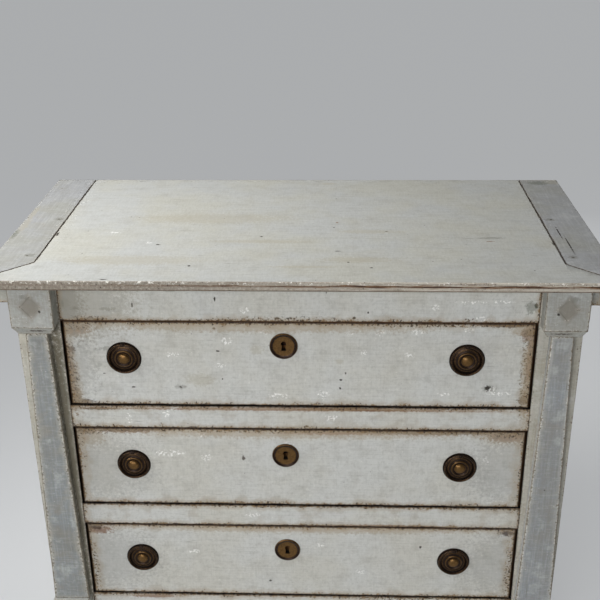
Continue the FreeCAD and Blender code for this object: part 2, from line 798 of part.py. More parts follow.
def make_escutcheon(level):
    """A round keyhole plate with a raised bead, pierced by a keyhole with a flared foot."""
    key_z = opening_bottom(level) + D.drawer_opening - drop(level, D.key_drop_upper, D.key_drop_lower)
    bead_circle = D.escutcheon_radius - D.escutcheon_bead
    disc = new_cylinder(f"{level}_escutcheon_disc", bead_circle, D.escutcheon_thickness)
    bead = new_torus(f"{level}_escutcheon_bead", bead_circle, D.escutcheon_bead, D.escutcheon_bead)
    plate = fused(f"{level}_escutcheon_plate", disc, bead)
    round_hole = new_drill(f"{level}_keyhole_round", D.keyhole_radius, D.escutcheon_thickness,
                           y=D.keyhole_rise)
    foot = new_object("Sketcher::SketchObject", f"{level}_keyhole_foot_sketch")
    half_foot = D.keyhole_foot_width / 2
    half_waist = D.keyhole_waist_width / 2
    add_polygon(foot, ((-half_foot, -D.keyhole_foot_drop), (half_foot, -D.keyhole_foot_drop),
                       (half_waist, D.keyhole_rise), (-half_waist, D.keyhole_rise)))
    wedge = new_object("Part::Extrusion", f"{level}_keyhole_foot")
    wedge.Base = foot
    wedge.DirMode = "Normal"
    wedge.Solid = True
    wedge.Symmetric = True
    bind(wedge, "LengthFwd", D.escutcheon_thickness * 3)
    plate_hole = fused(f"{level}_keyhole", round_hole, wedge)
    escutcheon = cut(f"{level}_escutcheon", plate, plate_hole)
    facing_front(escutcheon, lock_x, front, key_z)
    return escutcheon


def make_handle_plate(name, x, z):
    """A stamped round plate with beads, a domed boss, a lug for the ring and a stud behind."""
    step_top = D.plate_thickness + D.plate_step_height
    disc = new_cylinder(f"{name}_disc", D.plate_radius - D.plate_lip, D.plate_thickness)
    lip = new_torus(f"{name}_lip", D.plate_radius - D.plate_lip, D.plate_lip, D.plate_lip)
    step = new_object("Part::Cone", f"{name}_step")
    bind(step, "Radius1", D.plate_radius - D.plate_step_inset)
    bind(step, "Radius2", D.plate_radius - D.plate_step_top_inset)
    bind(step, "Height", D.plate_step_height)
    place(step, z=D.plate_thickness)
    small = new_torus(f"{name}_small_bead", D.plate_radius - D.small_bead_inset, D.small_bead,
                      D.plate_thickness + D.small_bead)
    large = new_torus(f"{name}_large_bead", D.plate_radius - D.large_bead_inset, D.large_bead,
                      step_top)
    boss = new_object("Part::Ellipsoid", f"{name}_boss")
    bind(boss, "Radius1", D.boss_height)
    bind(boss, "Radius2", D.plate_radius - D.boss_inset)
    bind(boss, "Radius3", D.plate_radius - D.boss_inset)
    boss.Angle1 = 0
    place(boss, z=step_top)
    half_lug = D.lug_width / 2
    neck = new_box(f"{name}_lug_neck", -half_lug, hinge_rise - D.lug_radius, D.plate_thickness / 2,
                   D.lug_width, D.lug_radius * 2, ring_height - D.plate_thickness / 2)
    nose = new_cylinder(f"{name}_lug_nose", D.lug_radius, D.lug_width,
                        -half_lug, hinge_rise, ring_height, axis="X")
    bore = new_drill(f"{name}_bore", D.pin_radius + D.pin_fit, D.lug_width,
                     -half_lug, hinge_rise, ring_height, axis="X")
    stud_length = D.front_thickness + D.nut_thickness + D.stud_end
    stud = new_cylinder(f"{name}_stud", D.stud_radius, stud_length + D.plate_thickness / 2,
                        z=-stud_length)
    solid = fused(f"{name}_solid", disc, lip, step, small, large, boss, neck, nose, stud)
    plate = cut(f"{name}_plate", solid, bore)
    facing_front(plate, x, front, z)
    nut_back = -D.front_thickness - D.nut_thickness
    nut_block = new_box(f"{name}_nut_block", -D.nut_width / 2, -D.nut_width / 2, nut_back,
                        D.nut_width, D.nut_width, D.nut_thickness)
    nut_bore = new_drill(f"{name}_nut_bore", D.stud_radius, D.nut_thickness, z=nut_back)
    nut = cut(f"{name}_nut", nut_block, nut_bore)
    facing_front(nut, x, front, z)
    return [plate, nut]


def make_ring(label, x, z):
    """The ring: open at the top, its two ends turned inwards as pins that run in the lug."""
    gap_edge = D.lug_width / 2 + D.ring_end_gap
    hoop = new_torus(f"{label}_hoop", ring_radius, D.ring_wire, ring_height)
    opening = new_box(f"{label}_opening", -gap_edge, ring_radius / 2, ring_height - D.ring_wire * 2,
                      gap_edge * 2, ring_radius, D.ring_wire * 4)
    open_hoop = cut(f"{label}_open_hoop", hoop, opening)
    pin_length = gap_edge + D.ring_wire - D.pin_tip_gap
    pins = []
    for hand, start in (("left", -(gap_edge + D.ring_wire)), ("right", D.pin_tip_gap)):
        pins.append(new_cylinder(f"{label}_pin_{hand}", D.pin_radius, pin_length,
                                 start, hinge_rise, ring_height, axis="X"))
    ring = fused(label, open_hoop, *pins)
    facing_front(ring, x, front, z)
    return ring


def make_handles(level):
    """Two ring pulls: one node for the fixed pieces, and one for each ring."""
    z = opening_bottom(level) + D.drawer_opening
    z = z - drop(level, D.handle_drop_upper, D.handle_drop_lower)
    places = (("left", D.handle_inset_left - half_opening),
              ("right", half_opening - D.handle_inset_right))
    fixed = []
    rings = []
    for hand, x in places:
        fixed += make_handle_plate(f"{level}_handle_{hand}", x, z)
        rings.append(make_ring(f"{level}_ring_{hand}", x, z))
    return [group(f"{level}_handle_plates", *fixed)] + rings


def make_drawer(level):
    """One drawer with its lock, keyhole plate and ring pulls."""
    opening = opening_bottom(level)
    drawer_bottom = opening + D.drawer_bottom_gap
    drawer_top = opening + D.drawer_opening - D.drawer_top_gap
    side_bottom = opening + D.running_gap
    side_top = drawer_top - D.drawer_side_drop
    groove_low = side_bottom + D.drawer_bottom_rise
    tail_pitch = (side_top - side_bottom) / D.tail_count
    first_tail = side_bottom + tail_pitch / 2
    board = make_drawer_front(level, drawer_bottom, drawer_top, groove_low, first_tail, tail_pitch)
    side = make_drawer_side(level, side_bottom, side_top, groove_low, first_tail, tail_pitch)
    half_bottom = drawer_inner + D.groove_depth - D.joint_gap
    bottom_front = front_inner - D.groove_depth + D.joint_gap
    floor = new_box(f"{level}_drawer_bottom", -half_bottom, bottom_front, groove_low,
                    half_bottom * 2, drawer_rear - bottom_front, D.drawer_bottom_thickness)
    back_low = groove_low + D.drawer_bottom_thickness
    half_back = drawer_inner + D.drawer_back_housing - D.joint_gap
    rear = new_box(f"{level}_drawer_back", -half_back,
                   drawer_rear - D.drawer_back_setback - D.drawer_back_thickness, back_low + D.joint_gap,
                   half_back * 2, D.drawer_back_thickness, side_top - back_low - D.joint_gap)
    pieces = [board, mirrored(side, f"{level}_drawer_side_left"), side, rear, floor]
    return pieces + make_lock(level, drawer_top) + [make_escutcheon(level)] + make_handles(level)


# A ring rests just clear of its plate. Its hinge lies where its open ends meet the lug.
ring_radius = D.plate_radius - D.ring_inset
ring_height = D.plate_thickness + D.ring_rest_gap + D.ring_wire
ring_end = D.lug_width / 2 + D.ring_end_gap
hinge_rise = (ring_radius * ring_radius - ring_end * ring_end).root()

# The feet stand under the corners of the case, a little inside its faces.
half_foot_top = D.post_width / 2 - D.foot_side_inset
front_foot_y = block_front + D.foot_front_inset + half_foot_top
rear_foot_y = back - D.foot_front_inset - half_foot_top
foot_tenon_length = D.bottom_thickness - D.foot_tenon_cover

nodes = make_top() + make_side_boards() + make_posts() + make_rails()
nodes += make_pilasters() + make_corner_blocks() + make_plinth_blocks() + make_cornices()
nodes += make_bottom_board() + make_back_boards() + make_feet()
for level in LEVELS:
    nodes += make_slides(level) + make_drawer(level)
doc.recompute()

# Nothing is written unless every object is sound.
for item in doc.Objects:
    if "Invalid" in item.State or "Error" in item.State:
        raise RuntimeError(f"{item.Label} failed: {item.State}")
for node in nodes:
    if node.Shape.isNull() or not node.Shape.isValid():
        raise RuntimeError(f"{node.Label} has no valid shape")

os.makedirs("parts", exist_ok=True)
for node in nodes:
    node.Shape.exportStep(f"parts/{node.Label}.step")
print(f"{len(nodes)} nodes, {sum(len(node.Shape.Solids) for node in nodes)} solids")
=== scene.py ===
# %% [markdown]
# # A painted pine commode
# The construction comes ready made: every board, joint and brass of the commode is already there as a
# plain solid, in metres, in its real place. This lesson gives those solids their looks. Boards get
# worn arrises and old paint, the brasses are modelled again with all their beads, and the whole
# stands on a pale floor in soft light.

import json
import math

import bmesh
import bpy
import numpy as np
from mathutils import Matrix, Vector, noise

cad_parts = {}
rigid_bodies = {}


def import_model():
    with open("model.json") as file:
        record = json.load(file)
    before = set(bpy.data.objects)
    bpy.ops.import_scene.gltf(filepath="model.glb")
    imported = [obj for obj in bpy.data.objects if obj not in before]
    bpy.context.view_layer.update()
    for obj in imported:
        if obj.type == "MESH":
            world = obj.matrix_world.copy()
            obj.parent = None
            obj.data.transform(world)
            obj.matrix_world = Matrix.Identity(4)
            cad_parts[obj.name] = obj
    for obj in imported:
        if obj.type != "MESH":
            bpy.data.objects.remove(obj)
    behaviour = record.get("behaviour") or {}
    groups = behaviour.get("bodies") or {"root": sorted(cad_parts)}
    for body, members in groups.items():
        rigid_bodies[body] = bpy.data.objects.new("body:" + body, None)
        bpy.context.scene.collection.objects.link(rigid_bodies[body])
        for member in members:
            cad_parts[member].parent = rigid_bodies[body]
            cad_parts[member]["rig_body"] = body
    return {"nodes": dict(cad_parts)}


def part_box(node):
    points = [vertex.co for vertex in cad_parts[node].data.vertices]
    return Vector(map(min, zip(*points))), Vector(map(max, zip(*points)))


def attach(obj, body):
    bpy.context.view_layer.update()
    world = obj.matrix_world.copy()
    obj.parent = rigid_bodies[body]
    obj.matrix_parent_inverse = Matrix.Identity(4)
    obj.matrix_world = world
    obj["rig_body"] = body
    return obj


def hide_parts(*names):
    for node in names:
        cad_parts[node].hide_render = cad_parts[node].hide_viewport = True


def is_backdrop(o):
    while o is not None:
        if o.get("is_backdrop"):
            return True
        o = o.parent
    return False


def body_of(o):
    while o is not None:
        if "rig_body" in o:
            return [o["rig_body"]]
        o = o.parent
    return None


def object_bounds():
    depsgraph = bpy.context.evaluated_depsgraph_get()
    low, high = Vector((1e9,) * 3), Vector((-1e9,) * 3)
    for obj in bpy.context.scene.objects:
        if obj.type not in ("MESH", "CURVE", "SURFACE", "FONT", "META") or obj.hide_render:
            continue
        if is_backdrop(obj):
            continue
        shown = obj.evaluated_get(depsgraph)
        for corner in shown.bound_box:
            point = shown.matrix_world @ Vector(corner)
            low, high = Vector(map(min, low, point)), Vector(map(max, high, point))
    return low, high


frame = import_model()
nodes = frame["nodes"]
cad_low, cad_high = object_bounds()
MM = 0.001
LEVELS = ("upper", "middle", "lower")
HANDS = ("left", "right")
bpy.ops.object.select_all(action="DESELECT")
print("construction nodes:", len(nodes), "size:", [round(v, 3) for v in cad_high - cad_low])

# %% [markdown]
# ## The camera
# The picture was taken from a standing height, a little right of the middle, looking down on the
# top. A camera that is given the same place, turn and focal length sees the same perspective, so
# that picture and render can be laid side by side. The focal length is measured in pixels of the
# 600 pixel frame, and the lens follows from it and the width of the sensor.

# %% Camera
PICTURE_WIDTH = 600
FOCAL_PIXELS = 969.8
SENSOR_WIDTH = 36.0
CAMERA_PLACE = (0.0654, -1.7771, 1.4951)
CAMERA_TURN, CAMERA_DIP, CAMERA_ROLL = (math.radians(angle) for angle in (2.25, 24.42, -0.633))

camera = bpy.data.objects.new("camera", bpy.data.cameras.new("camera"))
bpy.context.scene.collection.objects.link(camera)
camera.data.sensor_width = SENSOR_WIDTH
camera.data.lens = SENSOR_WIDTH * FOCAL_PIXELS / PICTURE_WIDTH
look = Matrix.Rotation(CAMERA_TURN, 4, "Z")
look = look @ Matrix.Rotation(math.pi / 2 - CAMERA_DIP, 4, "X")
look = look @ Matrix.Rotation(CAMERA_ROLL, 4, "Z")
camera.matrix_world = Matrix.Translation(CAMERA_PLACE) @ look
bpy.context.scene.camera = camera
bpy.context.scene.view_settings.view_transform = "Standard"
print("lens:", round(camera.data.lens, 1), "mm")

# %% [markdown]
# ## Colours and nodes
# A colour is written the way a colour picker shows it, as an sRGB hex value. The renderer counts in
# linear light, so one function turns the one into the other. A second small function adds a shader
# node, sets its options and its sockets, and links the sockets that are given another node's
# output. Every material below is written with these two.

# %% Two small helpers
def linear(hex_colour):
    """An sRGB hex colour such as #b9b6ab as linear red, green, blue and alpha."""
    parts = [int(hex_colour[i:i + 2], 16) / 255 for i in (1, 3, 5)]
    return [v / 12.92 if v <= 0.04045 else ((v + 0.055) / 1.055) ** 2.4 for v in parts] + [1.0]


def add(tree, kind, sockets, **options):
    """Adds a shader node to the tree and returns its outputs."""
    node = tree.nodes.new("ShaderNode" + kind)
    for option, value in options.items():
        setattr(node, option, value)
    for socket, value in sockets.items():
        if isinstance(value, bpy.types.NodeSocket):
            tree.links.new(value, node.inputs[socket])
        else:
            node.inputs[socket].default_value = value
    return node.outputs


def new_material(name):
    """An empty node material and its tree."""
    material = bpy.data.materials.new(name)
    material.use_nodes = True
    material.node_tree.nodes.clear()
    return material, material.node_tree


print("grey #808080 is", round(linear("#808080")[0], 3), "in linear light")

# %% [markdown]
# ## Floor and light
# The photograph's light comes from a window on the left: the left half of the top is bright, the
# right half falls away, and faces turned to the left are the brightest of all. A soft lamp on the
# left with a narrowed beam does that. A large one in front keeps the drawers readable, a weak one
# behind does the same for the back, and an even pale world fills the shadows. The floor is one pale
# plane, large enough to fill the picture. To the camera it also glows, which makes it look even.

# %% Floor, lamps and world
FLOOR_SIZE = 40.0
FLOOR_GLOW = 0.55
bpy.ops.mesh.primitive_plane_add(size=FLOOR_SIZE, location=(0, 0, 0))
floor = bpy.context.object
floor.name = "floor"
floor_paint, tree = new_material("matt_studio_floor")
shader = add(tree, "BsdfPrincipled", {"Base Color": linear("#d3d4d3"), "Roughness": 0.9})
glow = add(tree, "Emission", {"Color": linear("#d2d4d6"), "Strength": 1.0})
ray = add(tree, "LightPath", {})
seen = add(tree, "Math", {0: ray["Is Camera Ray"], 1: ray["Is Glossy Ray"]}, operation="MAXIMUM")[0]
seen = add(tree, "Math", {0: seen, 1: FLOOR_GLOW}, operation="MULTIPLY")[0]
shader = add(tree, "MixShader", {0: seen, 1: shader[0], 2: glow[0]})
add(tree, "OutputMaterial", {"Surface": shader[0]})
floor.data.materials.append(floor_paint)
floor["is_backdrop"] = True


def add_lamp(name, place, aim, width, power, colour):
    """A square soft lamp at a place, turned towards the point that it lights."""
    lamp = bpy.data.objects.new(name, bpy.data.lights.new(name, "AREA"))
    bpy.context.scene.collection.objects.link(lamp)
    lamp.data.size = width
    lamp.data.energy = power
    lamp.data.color = linear(colour)[:3]
    lamp.location = place
    lamp.rotation_mode = "QUATERNION"
    lamp.rotation_quaternion = (Vector(aim) - Vector(place)).to_track_quat("-Z", "Y")
    return lamp


WINDOW_WATTS, FRONT_WATTS, REAR_WATTS = 11, 48, 11
WINDOW_SPREAD = math.radians(70)
WORLD_STRENGTH = 0.19
window = add_lamp("window", place=(-1.7, -0.3, 2.0), aim=(-0.28, 0.0, 0.85), width=1.0,
                  power=WINDOW_WATTS, colour="#fdfdff")
window.data.spread = WINDOW_SPREAD
add_lamp("front", place=(-0.7, -2.85, 1.6), aim=(0.06, -0.2, 0.52), width=1.3,
         power=FRONT_WATTS, colour="#fafbff")
add_lamp("rear", place=(0.35, 2.6, 0.42), aim=(0.1, 0.1, 0.45), width=0.8,
         power=REAR_WATTS, colour="#fafbff")
world = bpy.data.worlds.new("plain_studio")
bpy.context.scene.world = world
world.use_nodes = True
background = world.node_tree.nodes["Background"]
background.inputs["Color"].default_value = linear("#eef1f4")
background.inputs["Strength"].default_value = WORLD_STRENGTH
print("lamps:", WINDOW_WATTS, FRONT_WATTS, REAR_WATTS, "watts")

# %% [markdown]
# ## Old paint
# The real finish is a chalky oil paint, brushed by hand on planed pine about two hundred years ago
# and worn since. Four things make it look so: clouds of warmer and cooler grey, fine brush strokes
# along the board and faint ones across it, specks and flecks, and the arrises, where damp and hands
# turned the paint brown or rubbed it off.
#
# The wear needs to know how far a point lies from the nearest arris. Each board therefore carries an
# attribute named edge with that distance, which is measured when the board is shaped further down.
# The paint was put on after the case was joined, so faces that lie inside it stay bare pine. In the
# gaps round the drawers that pine is painted near black as painted shade, reddish brown with grime
# under the frieze. A simple rule on the place of a point tells them apart.

# %% Paint material
AXES = {"x": 0, "y": 1, "z": 2}
PINE_LIGHT, PINE_DARK = "#a98055", "#7d5631"
CHALK, PIT = "#dddbd2", "#2c2219"
# How much streaks along the grain and across it are drawn out.
GRAIN_STRETCH, CROSS_STRETCH = 0.05, 0.12
# A mark is full inside its heart and gone at its edge, both as shares of its reach.
MARK_EDGE, MARK_HEART = 1.7, 1.15
# Millimetres: how thick the dirty skin of the top's rim is, and how far the paint reaches round the
# case, in from the sides and back from the front.
RIM_DEPTH = 1.5
PAINTED_IN, PAINTED_BACK = 9.5, 2.0
TOP_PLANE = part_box("top_board")[1].z / MM
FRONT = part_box("frieze_rail")[0].y / MM
SEAM_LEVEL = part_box("frieze_rail")[0].z / MM
BROWN_ARRIS, CREAM_ARRIS, SEAM_ARRIS, PALE_ARRIS = (
    dict(zip(("halo", "stain", "line", "width"), looks)) for looks in (
        ("#a08c6e", "#80643f", "#33251a", 1.0), ("#b2aea2", "#cbc6b8", "#6b6152", 1.0),
        ("#b9b3a5", "#c9c4b7", "#352b21", 1.7), ("#bdbab0", "#dad7cc", "#766c5b", 1.0)))


def ramp(tree, value, start, end, low=0.0, high=1.0):
    """Low where the value is at start, high where it is at end, and even steps between."""
    return add(tree, "MapRange", {0: value, 1: start, 2: end, 3: low, 4: high})[0]


def blend(tree, amount, first, second):
    """The first colour where amount is 0, the second where it is 1."""
    return add(tree, "Mix", {0: amount, 6: first, 7: second}, data_type="RGBA")[2]


def tint(tree, colour, amount, hex_colour):
    """Lays a colour over another one, as thickly as amount says."""
    return blend(tree, amount, colour, linear(hex_colour))


def calculate(tree, operation, first, second=0.0):
    return add(tree, "Math", {0: first, 1: second}, operation=operation)[0]


def distance_from_arris(tree):
    """What each board's edge attribute says, in metres."""
    return add(tree, "Attribute", {}, attribute_name="edge")["Fac"]


def ground(tree, grain):
    """Place in millimetres and the same place squeezed along the grain, for streaky patterns."""
    place = add(tree, "TexCoord", {})["Object"]
    mm = add(tree, "VectorMath", {0: place, "Scale": 1 / MM}, operation="SCALE")["Vector"]
    stretch = [1.0, 1.0, 1.0]
    stretch[AXES[grain]] = GRAIN_STRETCH
    return mm, add(tree, "VectorMath", {0: mm, 1: stretch}, operation="MULTIPLY")["Vector"]


def cloud(tree, vector, size, detail=3.0, roughness=0.55):
    """Soft noise whose blots are about size millimetres wide."""
    return add(tree, "TexNoise", {"Vector": vector, "Scale": 1 / size, "Detail": detail,
                                  "Roughness": roughness})["Fac"]


def surface(tree, colour, roughness, height, strength, depth, more):
    """Ends a material: its colour, its roughness, its relief, depth millimetres deep, and the rest."""
    bump = add(tree, "Bump", {"Height": height, "Strength": strength, "Distance": depth * MM})
    shader = add(tree, "BsdfPrincipled", {"Base Color": colour, "Roughness": roughness,
                                          "Normal": bump["Normal"], **more})
    add(tree, "OutputMaterial", {"Surface": shader[0]})


def add_marks(tree, colour, mm, ragged, fine, marks):
    """Marks placed by hand: a kind, the middle in millimetres and how far it reaches each way."""
    for kind, centre, reach in marks:
        mark_colour, strength, flecked = MARK_KINDS[kind]
        off = add(tree, "VectorMath", {0: mm, 1: centre}, operation="SUBTRACT")["Vector"]
        off = add(tree, "VectorMath", {0: off, 1: reach}, operation="DIVIDE")["Vector"]
        if kind == "lozenge":
            off = add(tree, "VectorMath", {0: off}, operation="ABSOLUTE")["Vector"]
            off = add(tree, "VectorMath", {0: off, 1: (1, 0, 1)}, operation="DOT_PRODUCT")["Value"]
        else:
            off = add(tree, "VectorMath", {0: off}, operation="LENGTH")["Value"]
            off = calculate(tree, "ADD", off, ragged)
        amount = ramp(tree, off, MARK_EDGE, MARK_HEART, 0.0, strength)
        if flecked:
            amount = calculate(tree, "MULTIPLY", amount, fine)
        colour = tint(tree, colour, amount, mark_colour)
    return colour


def dirty_rim(tree, colour, spread, strokes, crumbs, fine):
    """The narrow faces round the top: grimy beige with long streaks, pits and chips of white."""
    half_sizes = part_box("top_cleat_right")[1].x / MM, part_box("top_board")[1].y / MM
    out = [calculate(tree, "SUBTRACT", calculate(tree, "ABSOLUTE", spread[axis]), half - RIM_DEPTH)
           for axis, half in enumerate(half_sizes)]
    rim = ramp(tree, calculate(tree, "MAXIMUM", *out), -0.5, 0.8)
    below = calculate(tree, "SUBTRACT", TOP_PLANE, spread[2])
    chips = calculate(tree, "MULTIPLY", ramp(tree, fine, 0.6, 0.64), ramp(tree, below, 7, 3))
    wavy = calculate(tree, "ADD", below, ramp(tree, strokes, 0.3, 0.7, -10.5, -5.5))
    wavy = calculate(tree, "ABSOLUTE", wavy)
    rightward = ramp(tree, spread[0], -330, 120, 0.15, 1.0)
    brown = calculate(tree, "MULTIPLY", ramp(tree, wavy, 2.6, 1.0, 0.0, 0.9), rightward)
    seam = calculate(tree, "MULTIPLY", ramp(tree, wavy, 1.0, 0.4), rightward)
    grime = linear("#8b8376")
    for amount, layer in ((ramp(tree, spread[0], -250, 250), "#bbb3a4"),
                          (ramp(tree, strokes, 0.42, 0.66, 0.0, 0.8), "#7c7060"),
                          (ramp(tree, crumbs, 0.5, 0.68, 0.0, 0.6), "#c4bfb2"),
                          (chips, "#dedacf"), (brown, "#74502f"), (seam, "#38251a"),
                          (ramp(tree, below, 14.5, 16.5, 0.0, 0.75), "#5b4632"),
                          (ramp(tree, crumbs, 0.4, 0.35, 0.0, 0.9), PIT)):
        grime = tint(tree, grime, amount, layer)
    return blend(tree, rim, colour, grime)


def bare_inside(tree, colour, fibre, spread):
    """Leaves the paint only where a brush could reach: on the front, the sides, the top, the feet."""
    growth = add(tree, "TexNoise", {"Vector": fibre, "Scale": 0.09, "Detail": 3.0,
                                    "Distortion": 0.6})["Fac"]
    pine = tint(tree, linear(PINE_DARK), ramp(tree, growth, 0.35, 0.66), PINE_LIGHT)
    # Painted shade: near black in the gaps behind the front, reddish brown with grime under the frieze.
    gap_shade_and_dirt = tint(tree, linear("#120d09"), ramp(tree, spread[2], SEAM_LEVEL - 9, SEAM_LEVEL - 4), "#7d5c42")
    near = ramp(tree, spread[1], FRONT + 18, FRONT + 8)
    pine = blend(tree, near, pine, gap_shade_and_dirt)
    from_side = calculate(tree, "ABSOLUTE", spread[0])
    from_side = calculate(tree, "SUBTRACT", from_side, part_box("corner_post_right")[1].x / MM - PAINTED_IN)
    from_front = calculate(tree, "SUBTRACT", FRONT + PAINTED_BACK, spread[1])
    from_top = calculate(tree, "SUBTRACT", spread[2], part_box("top_board")[0].z / MM + 0.5)
    from_foot = calculate(tree, "SUBTRACT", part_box("base_rail")[0].z / MM - 0.5, spread[2])
    painted = calculate(tree, "MAXIMUM", calculate(tree, "MAXIMUM", from_side, from_front),
                        calculate(tree, "MAXIMUM", from_top, from_foot))
    return blend(tree, ramp(tree, painted, -0.3, 0.3), pine, colour)


def paint(name, cool, warm, grain, arris=BROWN_ARRIS, reach=14.0, stain=0.85, mottle=0.3, marks=(),
          rim=False):
    """Chalky brushed paint on pine. Grain is the axis that the board runs along, arris the colours at
    its arrises, reach how many millimetres they spread, and stain and mottle how strong they are."""
    material, tree = new_material(name)
    mm, fibre = ground(tree, grain)
    across = [1.0 if axis == grain else CROSS_STRETCH for axis in AXES]
    spread = add(tree, "SeparateXYZ", {0: mm})
    edge = calculate(tree, "MULTIPLY", distance_from_arris(tree), 1 / MM)
    clouds = cloud(tree, mm, 130)
    patches = cloud(tree, mm, 30, 4.0, 0.6)
    strokes = cloud(tree, fibre, 3.2, 4.0, 0.6)
    crumbs = cloud(tree, mm, 5, 4.0, 0.7)
    fine = cloud(tree, mm, 4.5, 2.0)
    weft = cloud(tree, add(tree, "VectorMath", {0: mm, 1: across}, operation="MULTIPLY")["Vector"], 2.5)

    # Clouds, thin and thick paint, brush strokes, a fine mottle, and hair cracks along the grain.
    crack = add(tree, "TexNoise", {"Vector": fibre, "Scale": 0.42, "Detail": 2.0})["Fac"]
    colour = tint(tree, linear(cool), ramp(tree, clouds, 0.4, 0.62), warm)
    for value, start, end, amount, layer in (
            (patches, 0.5, 0.74, mottle, "#8d887c"), (patches, 0.46, 0.26, 0.8 * mottle, "#cdcec9"),
            (strokes, 0.5, 0.78, 0.25, "#cfcfc9"), (strokes, 0.5, 0.24, 0.8 * mottle, "#86847a"),
            (weft, 0.5, 0.7, 0.15, "#d2d2cc"), (weft, 0.5, 0.3, 0.11, "#8a887e"),
            (crumbs, 0.5, 0.3, mottle, "#8b897f"), (crumbs, 0.62, 0.74, 0.7, CHALK),
            (crack, 0.7, 0.76, 0.6, "#5f5a4d")):
        colour = tint(tree, colour, ramp(tree, value, start, end, 0.0, amount), layer)

    # Specks and flecks lie anywhere, each with its own size.
    for step, low, speck_colour in ((17, 0.72, "#453e35"), (10, 0.66, CHALK)):
        speck = add(tree, "TexVoronoi", {"Vector": mm, "Scale": 1 / step})
        size = add(tree, "SeparateColor", {0: speck["Color"]})[0]
        spot = calculate(tree, "SUBTRACT", ramp(tree, size, low, 1.0, 0.0, 0.12), speck["Distance"])
        colour = tint(tree, colour, ramp(tree, spot, 0.0, 0.05, 0.0, 0.7), speck_colour)
    ragged = ramp(tree, crumbs, 0.3, 0.7)
    flecks = ramp(tree, fine, 0.5, 0.58)
    colour = add_marks(tree, colour, mm, ragged, flecks, marks)

    # Near the arris a soft halo, then a ragged stain with dark crumbs in it, then a thin line.
    local = ramp(tree, patches, 0.34, 0.66, 0.35 * reach, 1.4 * reach)
    near = ramp(tree, edge, 0.0, local, 1.0, 0.0)
    halo = calculate(tree, "MULTIPLY", near, ramp(tree, ragged, 0.0, 1.0, 0.45 * stain, 0.95 * stain))
    colour = tint(tree, colour, halo, arris["halo"])
    stained = calculate(tree, "ADD", near, calculate(tree, "MULTIPLY", ragged, 0.8))
    colour = tint(tree, colour, ramp(tree, stained, 1.12, 1.4, 0.0, stain), arris["stain"])
    crumbled = calculate(tree, "ADD", near, ramp(tree, fine, 0.35, 0.65, 0.0, 0.9))
    colour = tint(tree, colour, ramp(tree, crumbled, 1.4, 1.56, 0.0, stain), arris["line"])
    line = ramp(tree, strokes, 0.3, 0.62, 0.4 * arris["width"], 1.5 * arris["width"])
    line = calculate(tree, "SUBTRACT", line, edge)
    colour = tint(tree, colour, ramp(tree, line, -0.2, 0.4, 0.0, 0.9 * stain), arris["line"])
    if rim:
        colour = dirty_rim(tree, colour, spread, strokes, crumbs, fine)
    colour = bare_inside(tree, colour, fibre, spread)

    # Brush ridges stand up a little, and where the paint is gone the surface lies lower.
    relief = calculate(tree, "SUBTRACT", strokes, ramp(tree, stained, 1.12, 1.4))
    rough = ramp(tree, patches, 0.3, 0.7, 0.5, 0.7)
    surface(tree, colour, rough, relief, 0.35, 0.5, {"Specular IOR Level": 0.35})
    return material


# %% [markdown]
# The marks of two hundred years are listed in millimetres from the middle of the commode: what kind
# of mark, its middle and how far it reaches. Ink spots, rust that bled out of nails, flecks where the
# white ground shows, grime in the corner of a drawer and faint brownish stains are the wood's own.
# Other marks are painted shade: darker ends of the drawers, the left corner block's shadow on the
# frieze, and black on the wood behind the keyholes, for the dark inside them.

# %% Marks on the boards
# Some kinds are painted shade: two greys, the greenish brown (with grime) and the near-black.
MARK_KINDS = {"ink": ("#2b241c", 0.97, False), "rust": ("#7a5436", 0.75, False),
              "chalk": ("#ecebe5", 0.95, True), "moss": ("#6a6d60", 0.55, False),
              "tea_stain_and_shade": ("#aba48f", 0.4, False), "grime": ("#3a281b", 0.85, False),
              "crumbs": ("#33251a", 0.95, True), "shade": ("#77756a", 0.5, False),
              "beige": ("#a5957c", 0.55, False), "olive_shade_and_grime": ("#5c5440", 0.85, False),
              "lozenge": ("#827c70", 0.8, False), "dull": ("#8f8d87", 0.32, False),
              "keyhole_shade": ("#0e0b09", 1.0, False)}


def on_top(kind, x, y, wide, deep):
    return kind, (x, y, TOP_PLANE), (wide, deep, 9)


def on_front(kind, x, z, wide, high):
    return kind, (x, FRONT, z), (wide, 9, high)


TOP_MARKS = [on_top(*mark) for mark in (
    ("ink", -261, -113, 4, 2.4), ("chalk", -281, -104, 7, 5), ("ink", -190, -215, 3, 2.6),
    ("ink", -327, -277, 7, 1.8), ("ink", -73, -70, 2.4, 2.4), ("rust", 69, 8, 2.8, 3.4),
    ("ink", 63, -19, 2, 2), ("ink", 163, -40, 2.8, 2.2), ("ink", 71, -143, 6, 1.6),
    ("ink", 89, -196, 2.4, 2.4), ("ink", 129, -221, 3, 1.8), ("tea_stain_and_shade", 52, 257, 16, 7),
    ("rust", 351, -92, 9, 1.8), ("chalk", -355, -50, 14, 4), ("tea_stain_and_shade", -72, -96, 90, 9),
    ("tea_stain_and_shade", 128, -42, 60, 10), ("tea_stain_and_shade", 108, -184, 70, 14), ("tea_stain_and_shade", 14, -218, 60, 5),
    ("tea_stain_and_shade", -300, -190, 120, 22), ("shade", 356, -74, 26, 5), ("tea_stain_and_shade", -180, 30, 150, 30),
    ("ink", -464, -60, 4, 9), ("ink", 469, -64, 4, 12), ("ink", 466, -104, 3, 9))]
